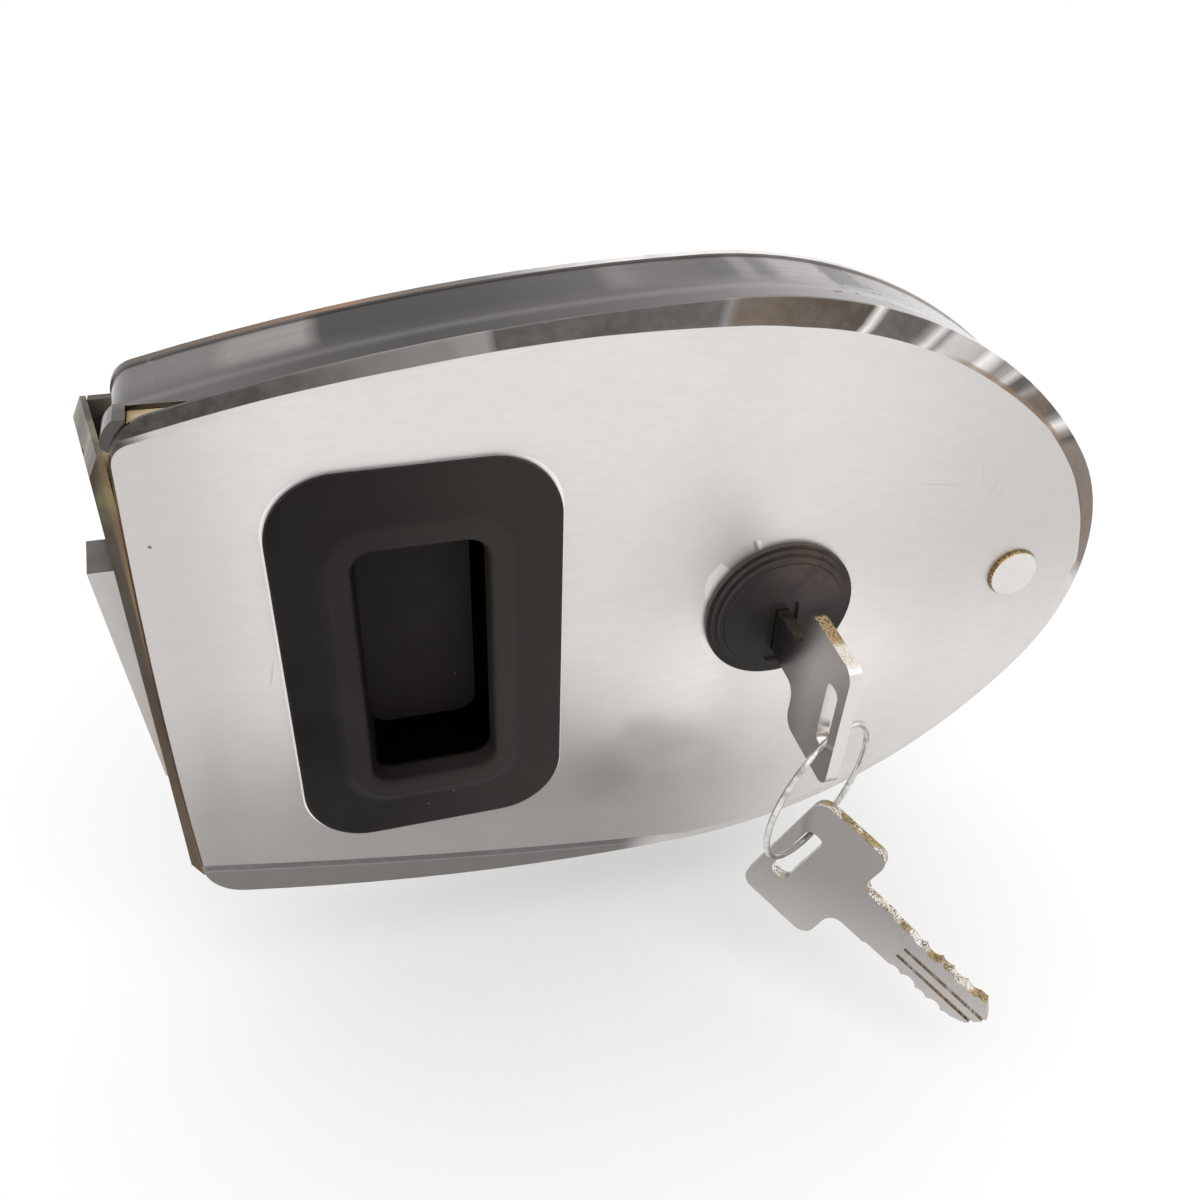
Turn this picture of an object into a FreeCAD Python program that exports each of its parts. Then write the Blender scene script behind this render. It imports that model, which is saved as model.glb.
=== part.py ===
import FreeCAD, Part
import math
import os
from FreeCAD import Vector, Placement, Rotation

# Hook-bolt lock for a sliding door: a long round-nosed case with a finger pull,
# a key cylinder and a swinging hook bolt. Millimetres.
# X runs to the round nose, the front face looks along -Y, Z is up.
# The origin lies on the door face, behind the middle of the finger pull.

# Case outline
CASE_DEPTH = 20.5
HALF_HEIGHT = 57.4
APEX_X = 49.0
NOSE_X = 125.6
LEFT_X = -40.5
FLANK_RADIUS = 370.0
NOSE_RADIUS = 38.78182
CORNER_RADIUS = 4.5

# Sheet metal
COVER_EDGE = 0.6
COVER_CORNER = 8.0
BEVEL_WIDTH = 3.0
BEVEL_DROP = 1.0
SHELL_WALL = 1.2
SHELL_SETBACK = 0.2
BACK_THICK = 1.5
BACK_LIP = 0.1
SEAM = 0.1
SHELL_END_DROP = 3.8
NOTCH_LENGTH = 12.5
NOTCH_DEPTH = 4.8
EAR_PROUD = 0.7
EAR_WIDTH = 3.2
EAR_LENGTH = 4.6
EAR_DEPTH = 5.0
EAR_ROUND = 1.2

# Flat face of the cover, raised at its lower left so the polished border widens
FACE_LOW_RISE = 5.0
FACE_LOW_RADIUS = 900.0
FACE_EDGE = 0.5
FACE_CORNER = 3.0
COVER_BULGE = 0.8
COVER_LEAN = 1.1

# Forend, a bevelled strip with the bolt's slot. A rise is measured up from the case's lowest level,
# a drop down from its highest.
FOREND_THICK = 2.4
FOREND_FRONT_X = -43.3
FOREND_BEVEL = 10.0
FOREND_GAP = 0.3
FOREND_END_RUN = 3.2
FOREND_END_DEPTH = 1.6
SLOT_LOW_RISE = 26.4
SLOT_TOP_DROP = 33.4
SLOT_GAP = 0.35

# Layers from the door face
CHEEK = 1.4
BAR_THICK = 3.0
LAYER_GAP = 0.2
BAR_GAP = 0.3
BOLT_THICK = 9.0
CASE_FIT = 0.3
CASE_RIGHT_X = -15.0
CASE_LEFT_X = -38.6

# Hook bolt at rest, seen from the front
PIVOT_X = -34.0
PIVOT_RISE = 31.4
PIVOT_RADIUS = 3.0
PIVOT_HEAD = 4.6
PIVOT_HEAD_THICK = 0.8
PIVOT_HEAD_GAP = 0.05
PIN_FIT = 0.05
BOSS_RADIUS = 5.8
SPACER_RIM = 0.5
BOLT_TOP_DROP = 35.7
BOLT_FOOT_RISE = 37.4
BOLT_PROUD = 3.4
BOLT_GAP = 0.3
BOLT_SLANT = 4.0
BEAK_WIDTH = 4.7
BEAK_TAPER = 1.0
THROAT_DROP = 41.9
THROAT_IN_X = -36.0
SHOULDER_X = -32.5
SHOULDER_DROP = 39.4
WEB_SIDE = 5.0
BOLT_LEAD = 18.6
BOLT_ROUND = 1.0

# Key cylinder and drive
CYLINDER_X = 62.0
KEY_TURN = 90.0
CRANK_RADIUS = 11.5
CRANK_PIN_RADIUS = 1.75
CRANK_HUB = 9.5
CRANK_FLANK = 3.2
CAM_SETBACK = 0.1
TAIL_FLAT = 6.2
TAIL_END = 0.2
PLUG_RADIUS = 8.5
PLUG_TAIL_RADIUS = 7.0
TURN_FIT = 0.08
PART_GAP = 0.2
BARREL_RADIUS = 10.5
BARREL_REAR = 6.6
NUT_ACROSS = 26.0
BARREL_STEP = 3.0
BARREL_HEAD = 11.6
BARREL_HEAD_THICK = 0.7
NUT_THICK = 3.5
CAP_STEPS = ((13.7, 1.0), (12.9, 1.9), (12.0, 2.7))
DISC_RADIUS = 11.0
DISC_PROUD = 2.9
DISC_THICK = 1.6
DISC_GAP = 0.1
KEYHOLE_WIDTH = 5.4
KEYHOLE_HEIGHT = 13.0
KEYHOLE_DEPTH = 0.8
WAFER_COUNT = 5
WAFER_PITCH = 1.9
WAFER_THICK = 1.2
WAFER_FIRST = 3.0
WAFER_WIDTH = 5.2
WAFER_HEIGHT = 4.4
WAFER_INSET = 0.9
PLUG_PIN_RADIUS = 0.65
PLUG_PIN_SETBACK = 1.9
PLUG_PIN_HALF = 4.5

# Drive bar
BAR_Z = 8.8691
BAR_HEIGHT = 7.0
BAR_PIN_RADIUS = 2.0
PIN_REACH = 5.0
YOKE_PLAY = 0.45
YOKE_BRIDGE = 2.5
YOKE_TINE = 4.0
YOKE_GAP = 1.0
GUIDE_XS = (-4.0, 25.0)
GUIDE_LENGTH = 9.0
GUIDE_SIDE = 3.0
GUIDE_ROOF = 1.0
GUIDE_FIT = 0.15

# Key
KEY_THICK = 2.2
BOW_WIDTH = 26.0
BOW_LENGTH = 16.0
BOW_CORNER = 2.6
NECK_WIDTH = 9.0
NECK_LENGTH = 7.5
NECK_STEP = 0.5
NECK_ROUND = 2.6
BLADE_WIDTH = 8.2
BLADE_LENGTH = 31.5
TIP_X = 1.2
TIP_NEAR = 2.5
TIP_FAR = 5.5
TIP_KNEE = (-2.4, 1.9)
KEY_HOLE_LENGTH = 13.0
KEY_HOLE_WIDTH = 3.6
KEY_HOLE_ROUND = 1.3
KEY_HOLE_INSET = 4.1
KEY_OUT = 9.4
KEY_DROOP = 3.0
KEYWAY_GAP = 0.15
BLADE_MID_Z = -3.3
BITTING = ((14.0, 0.5), (17.0, 0.9), (20.0, 0.4), (23.0, 0.8), (26.0, 0.6))
BITTING_RADIUS = 2.0
BITTING_OFFSET = 0.8
GROOVE_WIDTH = 0.8
GROOVE_DEPTH = 0.45
GROOVE_START = 13.0
GROOVE_XS = (-1.7, 0.5)

# Ring and spare key
RING_RADIUS = 13.8
RING_WIRE = 0.55
RING_REST = 0.55
RING_SIDE = 0.8
SPARE_REST = 0.35
RING_DOWN = Vector(0.081, 0.121, -0.989)
RING_ALONG = Vector(0.873, 0.471, 0.129)
SPARE_AXIS = Vector(0.580, -0.697, -0.422)
SPARE_WIDTH = Vector(0.410, -0.199, 0.890)
SPARE_SLOT_POINT = 4.4

# Finger pull
CUP_WIDTH = 45.0
CUP_HEIGHT = 73.3
CUP_CORNER = 11.0
CUP_FLANGE = 1.5
CUP_EDGE = 0.8
POCKET_WIDTH = 21.2
POCKET_HEIGHT = 48.0
POCKET_CORNER = 3.5
POCKET_DEPTH = 10.0
POCKET_DRAFT_SIDE = 1.2
POCKET_DRAFT_END = 3.4
POCKET_WALL = 1.4
BEAD_WIDTH = 3.2
BEAD_FOOT = 5.2
BEAD_HEIGHT = 1.1
BEAD_ROUND = 1.6
MOUTH_ROUND = 1.2
RETAINER_THICK = 1.0
RETAINER_REACH = 5.0
RETAINER_CORNER = 3.0
CUP_SCREW_RADIUS = 1.3
CUP_SCREW_X = 6.0

# Nose stud, posts, bosses and screws
STUD_X = 109.3
STUD_RADIUS = 4.75
STUD_PROUD = 1.0
STUD_ROUND = 0.4
STUD_SHANK = 2.5
STUD_DEPTH = 8.0
HOLE_END = 0.5
TIP_POST_RADIUS = 4.5
POST_RADIUS = 3.5
POST_PLACES = ((14.0, 12.4, 1), (14.0, 11.4, -1), (92.0, 27.4, 1), (92.0, 27.4, -1))
SCREW_RADIUS = 2.0
SCREW_HEAD = 3.5
SCREW_DEPTH = 8.0
MOUNT_CENTRE_X = 35.0
MOUNT_SPACING_X = 80.0
MOUNT_SPACING_Z = 76.0
MOUNT_HOLE_RADIUS = 2.5
MOUNT_BOSS_RADIUS = 4.5
MOUNT_BOSS_DEPTH = 9.0
MOUNT_BOSS_END = 1.5
FOREND_SCREW_INSET = 6.4
LUG_RADIUS = 3.0
LUG_LENGTH = 6.5
LUG_RIB = 4.0
CASE_SCREW_INSET = 4.0
CASE_SCREW_LEFT = 10.0
CASE_SCREW_DEPTH = 6.0
CASE_SCREW_HEAD = 2.6
CASE_SCREW_HEAD_THICK = 1.0
FOREND_SCREW_DEPTH = 5.0
SLOT_WIDTH = 0.6
SLOT_DEPTH = 0.5
THROUGH = 1.0
NEAR = 0.01

# Places worked out from the sizes above
NOSE_RUN = NOSE_X - APEX_X
SHOULDER_REACH = NOSE_RUN**2 + HALF_HEIGHT**2 - 2 * NOSE_RUN * NOSE_RADIUS
SHOULDER_RADIUS = SHOULDER_REACH / (2 * (HALF_HEIGHT - NOSE_RADIUS))
FACE_Y = -CASE_DEPTH
RIM_Y = FACE_Y + BEVEL_DROP
COVER_BACK_Y = RIM_Y + COVER_EDGE
BACK_Y = -BACK_THICK
CHEEK_Y = BACK_Y - CHEEK
BAR_REAR_Y = CHEEK_Y - BAR_GAP
BAR_FRONT_Y = BAR_REAR_Y - BAR_THICK
BOLT_REAR_Y = BAR_FRONT_Y - 2 * LAYER_GAP
BOLT_FRONT_Y = BOLT_REAR_Y - BOLT_THICK
LID_REAR_Y = BOLT_FRONT_Y - 2 * LAYER_GAP
LID_FRONT_Y = LID_REAR_Y - CHEEK
PLUG_FACE_Y = FACE_Y - DISC_PROUD + DISC_THICK
MOUTH_Y = FACE_Y - DISC_PROUD
BARREL_STEP_Y = -BARREL_REAR - BARREL_STEP
BAR_TRAVEL = 2 * CRANK_RADIUS * math.sin(math.radians(KEY_TURN / 2))
LEAD_TAN = math.tan(math.radians(BOLT_LEAD))
PIVOT_Z = PIVOT_RISE - HALF_HEIGHT
BOLT_FOOT_Z = BOLT_FOOT_RISE - HALF_HEIGHT
BOLT_TOP_Z = HALF_HEIGHT - BOLT_TOP_DROP
THROAT_Z = HALF_HEIGHT - THROAT_DROP
SHOULDER_Z = HALF_HEIGHT - SHOULDER_DROP
SLOT_LOW_Z = SLOT_LOW_RISE - HALF_HEIGHT
SLOT_HIGH_Z = HALF_HEIGHT - SLOT_TOP_DROP
PIN_HEIGHT = BAR_Z - PIVOT_Z
BAR_PIN_X = PIVOT_X + PIN_HEIGHT * LEAD_TAN
PIN_FRONT_Y = BAR_FRONT_Y - PIN_REACH
BEVEL_TAN = math.tan(math.radians(FOREND_BEVEL))
SLANT_TAN = math.tan(math.radians(BOLT_SLANT))
Y_AXIS = Vector(0, 1, 0)


def save(name, shape):
    """Write one node as a STEP file."""
    shape.exportStep("parts/" + name + ".step")


def polar(centre, radius, degrees):
    """A point on a circle in the XZ plane."""
    turn = math.radians(degrees)
    return Vector(centre.x + radius * math.cos(turn), centre.y, centre.z + radius * math.sin(turn))


def slab(wire, thick):
    """Extrude a closed wire towards the door."""
    return Part.Face(wire).extrude(Vector(0, thick, 0))


def rod(x, z, radius, y_front, y_rear):
    """A round bar along Y."""
    return Part.makeCylinder(radius, y_rear - y_front, Vector(x, y_front, z), Y_AXIS)


def block(x_low, x_high, y_low, y_high, z_low, z_high):
    """A plain box from its limits."""
    size = (x_high - x_low, y_high - y_low, z_high - z_low)
    return Part.makeBox(*size, Vector(x_low, y_low, z_low))


def polygon(points, y):
    """A closed wire of straight edges in the plane at y."""
    corners = [Vector(x, y, z) for x, z in points]
    return Part.makePolygon(corners + [corners[0]])


def round_rect(width, height, corner, y):
    """A rounded rectangle about the origin in the plane at y."""
    w = width / 2 - corner
    h = height / 2 - corner
    edges = []
    for sx, sz, start in ((1, 1, 0), (-1, 1, 90), (-1, -1, 180), (1, -1, 270)):
        centre = Vector(sx * w, y, sz * h)
        ends = [polar(centre, corner, start + step) for step in (0, 45, 90)]
        edges.append(Part.Arc(*ends).toShape())
    sides = []
    for number, edge in enumerate(edges):
        follow = edges[(number + 1) % 4]
        sides.append(edge)
        sides.append(Part.LineSegment(edge.Vertexes[-1].Point, follow.Vertexes[0].Point).toShape())
    return Part.Wire(Part.__sortEdges__(sides))


def arc_about(centre, start, end, toward):
    """The arc from start to end about centre that passes on the side of toward."""
    radius = start.distanceToPoint(centre)
    middle = toward.sub(centre)
    middle.normalize()
    return Part.Arc(start, centre.add(middle.multiply(radius)), end).toShape()


def flank_height(x, inset):
    """Half height of the outline at x on its long left flank."""
    radius = FLANK_RADIUS - inset
    return HALF_HEIGHT - FLANK_RADIUS + math.sqrt(radius**2 - (x - APEX_X) ** 2)


def shell_end_z():
    """Height where the shell's wall ends at the open left side."""
    return flank_height(LEFT_X, 0) - SHELL_END_DROP


def forend_half():
    """Half length of the forend, which fits between the ends of the shell's wall."""
    return shell_end_z() - FOREND_GAP


def case_half():
    """Half height of the lock case, which ends below the shell's ear."""
    return shell_end_z() - CASE_FIT


def upper_points(inset, y, left_x, corner):
    """Centres and joints of the upper half of an outline that runs parallel to the case's own."""
    flank = Vector(APEX_X, y, HALF_HEIGHT - FLANK_RADIUS)
    shoulder = Vector(APEX_X, y, HALF_HEIGHT - SHOULDER_RADIUS)
    tip = Vector(NOSE_X - NOSE_RADIUS, y, 0)
    corner_x = left_x + corner
    centre = Vector(corner_x, y, flank_height(corner_x, inset + corner))
    outward = centre.sub(flank).normalize()
    nose_dir = tip.sub(shoulder).normalize()
    return {
        "flank": flank,
        "shoulder": shoulder,
        "tip": tip,
        "corner": centre,
        "left": Vector(left_x, y, centre.z),
        "corner_end": flank.add(Vector(outward).multiply(FLANK_RADIUS - inset)),
        "apex": Vector(APEX_X, y, HALF_HEIGHT - inset),
        "join": tip.add(Vector(nose_dir).multiply(NOSE_RADIUS - inset)),
        "nose": Vector(NOSE_X - inset, y, 0),
    }


def mirrored(point):
    return Vector(point.x, point.y, -point.z)


def upper_edges(p):
    """Corner, flank and shoulder arcs of the upper half."""
    corner_mid = p["corner"].add(Vector(-1, 0, 1))
    flank_mid = Vector((p["corner_end"].x + APEX_X) / 2, p["apex"].y, HALF_HEIGHT)
    shoulder_mid = p["shoulder"].add(p["join"].sub(p["shoulder"]).normalize().add(Vector(0, 0, 1)))
    return [
        arc_about(p["corner"], p["left"], p["corner_end"], corner_mid),
        arc_about(p["flank"], p["corner_end"], p["apex"], flank_mid),
        arc_about(p["shoulder"], p["apex"], p["join"], shoulder_mid),
    ]


def parallel_outline(inset, y, left_x, corner, bulge=0, lean=0):
    """A closed outline moved in by inset; its left edge bows out by bulge and runs out by lean at its foot."""
    p = upper_points(inset, y, left_x, corner)
    foot = upper_points(inset, y, left_x - lean, corner)
    lower = [edge.mirror(Vector(0, 0, 0), Vector(0, 0, 1)) for edge in upper_edges(foot)]
    nose = Part.Arc(p["join"], p["nose"], mirrored(p["join"])).toShape()
    start = mirrored(foot["left"])
    left = Part.LineSegment(start, p["left"]).toShape()
    if bulge:
        middle = start.add(p["left"]).multiply(0.5).sub(Vector(bulge, 0, 0))
        left = Part.Arc(start, middle, p["left"]).toShape()
    return Part.Wire(Part.__sortEdges__(upper_edges(p) + lower + [nose, left]))


def outline(inset, y):
    """The outline of the case, moved in by inset, in the plane at y."""
    return parallel_outline(inset, y, LEFT_X + inset, CORNER_RADIUS - inset)


def cover_outline(inset, y):
    """Outline of the cover between its rim (inset 0) and its flat face (inset BEVEL_WIDTH)."""
    share = inset / BEVEL_WIDTH
    corner = COVER_CORNER + (FACE_CORNER - COVER_CORNER) * share
    return parallel_outline(inset, y, LEFT_X + FACE_EDGE * share, corner, COVER_BULGE, COVER_LEAN)


def face_outline(inset, y):
    """Outline of the raised face: the cover's, cut by a higher arc at the lower left."""
    plate = Part.Face(cover_outline(inset, y))
    start = Vector(APEX_X, y, BEVEL_WIDTH - HALF_HEIGHT)
    end = Vector(LEFT_X, y, FACE_LOW_RISE - flank_height(LEFT_X, BEVEL_WIDTH))
    chord = end.sub(start)
    half = chord.Length / 2
    height = math.sqrt(FACE_LOW_RADIUS**2 - half**2)
    upward = Vector(chord.z, 0, -chord.x).normalize()
    centre = start.add(chord.multiply(0.5)).add(upward.multiply(height))
    reach = FACE_LOW_RADIUS + BEVEL_WIDTH - inset
    disc = Part.Face(Part.Wire(Part.makeCircle(reach, centre, Y_AXIS)))
    corners = [(APEX_X, -HALF_HEIGHT), (NOSE_X, -HALF_HEIGHT), (NOSE_X, HALF_HEIGHT), (APEX_X, HALF_HEIGHT)]
    right_half = Part.Face(polygon(corners, y))
    merged = plate.common(disc.fuse(right_half)).removeSplitter()
    return merged.Faces[0].OuterWire


def countersink(x, z, y_outer):
    """The conical seat of a screw that is driven in from the door side."""
    depth = SCREW_HEAD - SCREW_RADIUS
    return Part.makeCone(SCREW_HEAD, SCREW_RADIUS, depth, Vector(x, y_outer, z), Vector(0, -1, 0))


def csk_screw(place, direction, length, radius, head):
    """A countersunk screw with a slot, its head face at place, driven along direction."""
    axis = Vector(direction).normalize()
    depth = head - radius
    screw = Part.makeCone(head, radius, depth, place, axis)
    screw = screw.fuse(Part.makeCylinder(radius, length, place, axis))
    across = Vector(axis.y, axis.z, axis.x)
    side = axis.cross(across)
    corner = place.sub(Vector(across).multiply(radius)).sub(Vector(side).multiply(SLOT_WIDTH / 2))
    points = [corner, corner.add(Vector(across).multiply(2 * radius))]
    points.append(points[1].add(Vector(side).multiply(SLOT_WIDTH)))
    points.append(corner.add(Vector(side).multiply(SLOT_WIDTH)))
    face = Part.Face(Part.makePolygon(points + [points[0]]))
    return screw.cut(face.extrude(Vector(axis).multiply(SLOT_DEPTH)))


# Cover, shell and back

def cup_opening(y_front, y_rear, gap):
    """Clearance hole for the pocket of the finger pull."""
    width = POCKET_WIDTH + 2 * (POCKET_WALL + gap)
    height = POCKET_HEIGHT + 2 * (POCKET_WALL + gap)
    wire = round_rect(width, height, POCKET_CORNER + POCKET_WALL, y_front)
    return slab(wire, y_rear - y_front)


def front_cover():
    rim = slab(cover_outline(0, RIM_Y), COVER_EDGE)
    raised = Part.makeLoft([face_outline(BEVEL_WIDTH, FACE_Y), face_outline(0, RIM_Y)], True, True)
    plate = rim.fuse(raised)
    front = FACE_Y - THROUGH
    rear = COVER_BACK_Y + THROUGH
    plate = plate.cut(cup_opening(front, rear, PART_GAP))
    plate = plate.cut(rod(CYLINDER_X, 0, BARREL_RADIUS + PART_GAP, front, rear))
    plate = plate.cut(rod(STUD_X, 0, STUD_SHANK + PART_GAP, front, rear))
    for x, z in cup_screw_places():
        plate = plate.cut(rod(x, z, CUP_SCREW_RADIUS + PART_GAP, front, rear))
    return plate.removeSplitter()


def corner_notch():
    """The gap between cover and shell at the upper left corner."""
    front = COVER_BACK_Y - THROUGH
    x_low = LEFT_X + EAR_WIDTH - SEAM
    x_high = LEFT_X + NOTCH_LENGTH
    points = [(x_low, COVER_BACK_Y + NOTCH_DEPTH), (x_low, front), (x_high, front), (x_high, COVER_BACK_Y)]
    corners = [Vector(x, y, shell_end_z()) for x, y in points]
    face = Part.Face(Part.makePolygon(corners + [corners[0]]))
    return face.extrude(Vector(0, 0, HALF_HEIGHT))


def shell_ear(front):
    """Thick rounded end of the shell's wall where it turns the upper left corner."""
    outer = slab(outline(-EAR_PROUD, front), EAR_DEPTH)
    inner = slab(outline(EAR_WIDTH, front), EAR_DEPTH)
    x_low = LEFT_X - 2 * EAR_PROUD
    z_low = shell_end_z()
    window = block(x_low, LEFT_X + EAR_WIDTH, front, front + EAR_DEPTH, z_low, z_low + EAR_LENGTH)
    ear = outer.cut(inner).common(window)
    upright = [edge for edge in ear.Edges if edge.BoundBox.YLength > EAR_DEPTH / 2]
    foot = [edge for edge in upright if edge.BoundBox.ZMax < z_low + NEAR]
    return ear.makeFillet(EAR_ROUND, foot)


def body_shell():
    front = COVER_BACK_Y + SEAM
    depth = BACK_Y - front
    outer = slab(outline(SHELL_SETBACK, front), depth)
    inner = slab(outline(SHELL_SETBACK + SHELL_WALL, front), depth)
    wall = outer.cut(inner)
    end_z = shell_end_z()
    mouth = block(LEFT_X - THROUGH, LEFT_X + 2 * SHELL_WALL, front - THROUGH, BACK_Y + THROUGH, -end_z, end_z)
    return wall.cut(mouth).cut(corner_notch()).fuse(shell_ear(front)).removeSplitter()


def back_plate():
    plate = slab(outline(-BACK_LIP, BACK_Y), BACK_THICK)
    reach = forend_inner_x(BACK_Y)
    wing = block(reach, LEFT_X + CORNER_RADIUS, BACK_Y, 0, -forend_half(), forend_half())
    plate = plate.fuse(wing).removeSplitter()
    front = BACK_Y - THROUGH
    plate = plate.cut(rod(CYLINDER_X, 0, PLUG_TAIL_RADIUS + TURN_FIT, front, THROUGH))
    for x, z in mount_places():
        plate = plate.cut(rod(x, z, MOUNT_HOLE_RADIUS, front, THROUGH))
    for x, z in back_screw_places():
        plate = plate.cut(rod(x, z, SCREW_RADIUS, front, THROUGH))
        plate = plate.cut(countersink(x, z, 0))
    return plate


def mount_places():
    """Centres of the four threaded fixing holes."""
    places = []
    for sx in (-1, 1):
        for sz in (-1, 1):
            places.append((MOUNT_CENTRE_X + sx * MOUNT_SPACING_X / 2, sz * MOUNT_SPACING_Z / 2))
    return places


def post_places():
    """Centres of the posts, each at its own drop inside the case's greatest half height."""
    return [(x, side * (HALF_HEIGHT - drop)) for x, drop, side in POST_PLACES]


def back_screw_places():
    return post_places() + [(STUD_X, 0)]


def mount_bosses():
    front = BACK_Y - MOUNT_BOSS_DEPTH
    bosses = []
    for x, z in mount_places():
        boss = rod(x, z, MOUNT_BOSS_RADIUS, front, BACK_Y)
        bosses.append(boss.cut(rod(x, z, MOUNT_HOLE_RADIUS, front + MOUNT_BOSS_END, BACK_Y)))
    return Part.makeCompound(bosses)


def spacer_posts():
    posts = []
    for x, z in post_places():
        post = rod(x, z, POST_RADIUS, COVER_BACK_Y, BACK_Y)
        posts.append(post.cut(rod(x, z, SCREW_RADIUS, BACK_Y - SCREW_DEPTH, BACK_Y)))
    return Part.makeCompound(posts)


def back_screws():
    length = BACK_THICK + SCREW_DEPTH - HOLE_END
    screws = []
    for x, z in back_screw_places():
        screws.append(csk_screw(Vector(x, 0, z), Vector(0, -1, 0), length, SCREW_RADIUS, SCREW_HEAD))
    return Part.makeCompound(screws)


# Nose stud

def tip_post():
    post = rod(STUD_X, 0, TIP_POST_RADIUS, COVER_BACK_Y, BACK_Y)
    post = post.cut(rod(STUD_X, 0, STUD_SHANK, COVER_BACK_Y, COVER_BACK_Y + STUD_DEPTH))
    return post.cut(rod(STUD_X, 0, SCREW_RADIUS, BACK_Y - SCREW_DEPTH, BACK_Y))


def tip_stud():
    head = rod(STUD_X, 0, STUD_RADIUS, FACE_Y - STUD_PROUD, FACE_Y)
    head = head.makeFillet(STUD_ROUND, front_edges(head, FACE_Y - STUD_PROUD))
    reach = COVER_BACK_Y + STUD_DEPTH - HOLE_END
    return head.fuse(rod(STUD_X, 0, STUD_SHANK, FACE_Y, reach))


# Forend

def forend_front_x(y):
    """Outer face of the bevelled forend at depth y."""
    return FOREND_FRONT_X - (y - COVER_BACK_Y) * BEVEL_TAN


def forend_inner_x(y):
    """Inner face of the forend at depth y."""
    return forend_front_x(y) + FOREND_THICK / math.cos(math.radians(FOREND_BEVEL))


def forend_section(z):
    """Cross-section of the forend strip at height z."""
    front = COVER_BACK_Y
    points = [(forend_front_x(front), front), (forend_inner_x(front), front)]
    points += [(forend_inner_x(0), 0), (forend_front_x(0), 0)]
    corners = [Vector(x, y, z) for x, y in points]
    return Part.Face(Part.makePolygon(corners + [corners[0]]))


def forend():
    half = forend_half()
    strip = forend_section(-half).extrude(Vector(0, 0, 2 * half))
    for side in (-1, 1):
        strip = strip.cut(end_wedge(side))
    outer_x = forend_front_x(0) - THROUGH
    slot = block(outer_x, LEFT_X + FOREND_THICK, BOLT_FRONT_Y - SLOT_GAP, BOLT_REAR_Y + SLOT_GAP,
                 SLOT_LOW_Z, SLOT_HIGH_Z)
    strip = strip.cut(slot)
    axis = forend_normal()
    for place in forend_screw_seats():
        strip = strip.cut(Part.makeCylinder(SCREW_RADIUS, 2 * FOREND_THICK, place, axis))
        strip = strip.cut(Part.makeCone(SCREW_HEAD, SCREW_RADIUS, SCREW_HEAD - SCREW_RADIUS, place, axis))
    return strip


def end_wedge(side):
    """The metal that is taken off the outer corner at one end of the forend."""
    slope = FOREND_END_RUN / FOREND_END_DEPTH
    outer_x = forend_front_x(COVER_BACK_Y)
    top = forend_half()
    points = [(outer_x - THROUGH, top - FOREND_END_RUN - THROUGH * slope), (outer_x - THROUGH, top + THROUGH),
              (outer_x + FOREND_END_DEPTH + THROUGH / slope, top + THROUGH)]
    corners = [Vector(x, COVER_BACK_Y, side * z) for x, z in points]
    face = Part.Face(Part.makePolygon(corners + [corners[0]]))
    return face.extrude(Vector(forend_front_x(0) - outer_x, -COVER_BACK_Y, 0))


def forend_normal():
    """Direction in which a screw is driven into the forend."""
    turn = math.radians(FOREND_BEVEL)
    return Vector(math.cos(turn), math.sin(turn), 0)


def forend_screw_seats():
    y = (BOLT_FRONT_Y + BOLT_REAR_Y) / 2
    z = forend_half() - FOREND_SCREW_INSET
    return [Vector(forend_front_x(y), y, side * z) for side in (-1, 1)]


def forend_screws():
    length = FOREND_THICK + FOREND_SCREW_DEPTH
    screws = []
    for place in forend_screw_seats():
        screws.append(csk_screw(place, forend_normal(), length, SCREW_RADIUS, SCREW_HEAD))
    return Part.makeCompound(screws)


# Lock case

def case_screw_places():
    xs = (CASE_LEFT_X + CASE_SCREW_LEFT, CASE_RIGHT_X - CASE_SCREW_INSET)
    z = case_half() - CASE_SCREW_INSET
    return [(x, side * z) for x in xs for side in (-1, 1)]


def case_lug(place):
    """Tapped lug behind the forend with the rib that joins it to the case's end wall."""
    start = place.add(forend_normal().multiply(FOREND_THICK))
    lug = Part.makeCylinder(LUG_RADIUS, LUG_LENGTH, start, forend_normal())
    z_low, z_high = sorted((place.z, math.copysign(case_half() - CHEEK / 2, place.z)))
    half = LUG_RIB / 2
    rib = block(CASE_LEFT_X, CASE_LEFT_X + LUG_RADIUS, place.y - half, place.y + half, z_low, z_high)
    return lug.fuse(rib)


def lock_case():
    """Bent sheet case: rear cheek, top and bottom walls, screw pillars and forend lugs."""
    half = case_half()
    shape = block(CASE_LEFT_X, CASE_RIGHT_X, CHEEK_Y, BACK_Y, -half, half)
    for side in (-1, 1):
        z_low, z_high = sorted((side * (half - CHEEK), side * half))
        shape = shape.fuse(block(CASE_LEFT_X, CASE_RIGHT_X, LID_REAR_Y, BACK_Y, z_low, z_high))
    for x, z in case_screw_places():
        shape = shape.fuse(rod(x, z, SCREW_RADIUS + CHEEK, LID_REAR_Y, CHEEK_Y))
    for place in forend_screw_seats():
        shape = shape.fuse(case_lug(place))
    pivot_hole = PIVOT_RADIUS + PIVOT_HEAD_GAP
    shape = shape.cut(rod(PIVOT_X, PIVOT_Z, pivot_hole, CHEEK_Y - THROUGH, BACK_Y + THROUGH))
    hole_end = LID_REAR_Y + CASE_SCREW_DEPTH + HOLE_END
    for x, z in case_screw_places():
        shape = shape.cut(rod(x, z, CUP_SCREW_RADIUS, LID_REAR_Y - THROUGH, hole_end))
    length = FOREND_THICK + FOREND_SCREW_DEPTH
    for place in forend_screw_seats():
        shape = shape.cut(Part.makeCylinder(SCREW_RADIUS, length, place, forend_normal()))
    return shape.removeSplitter()


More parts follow.
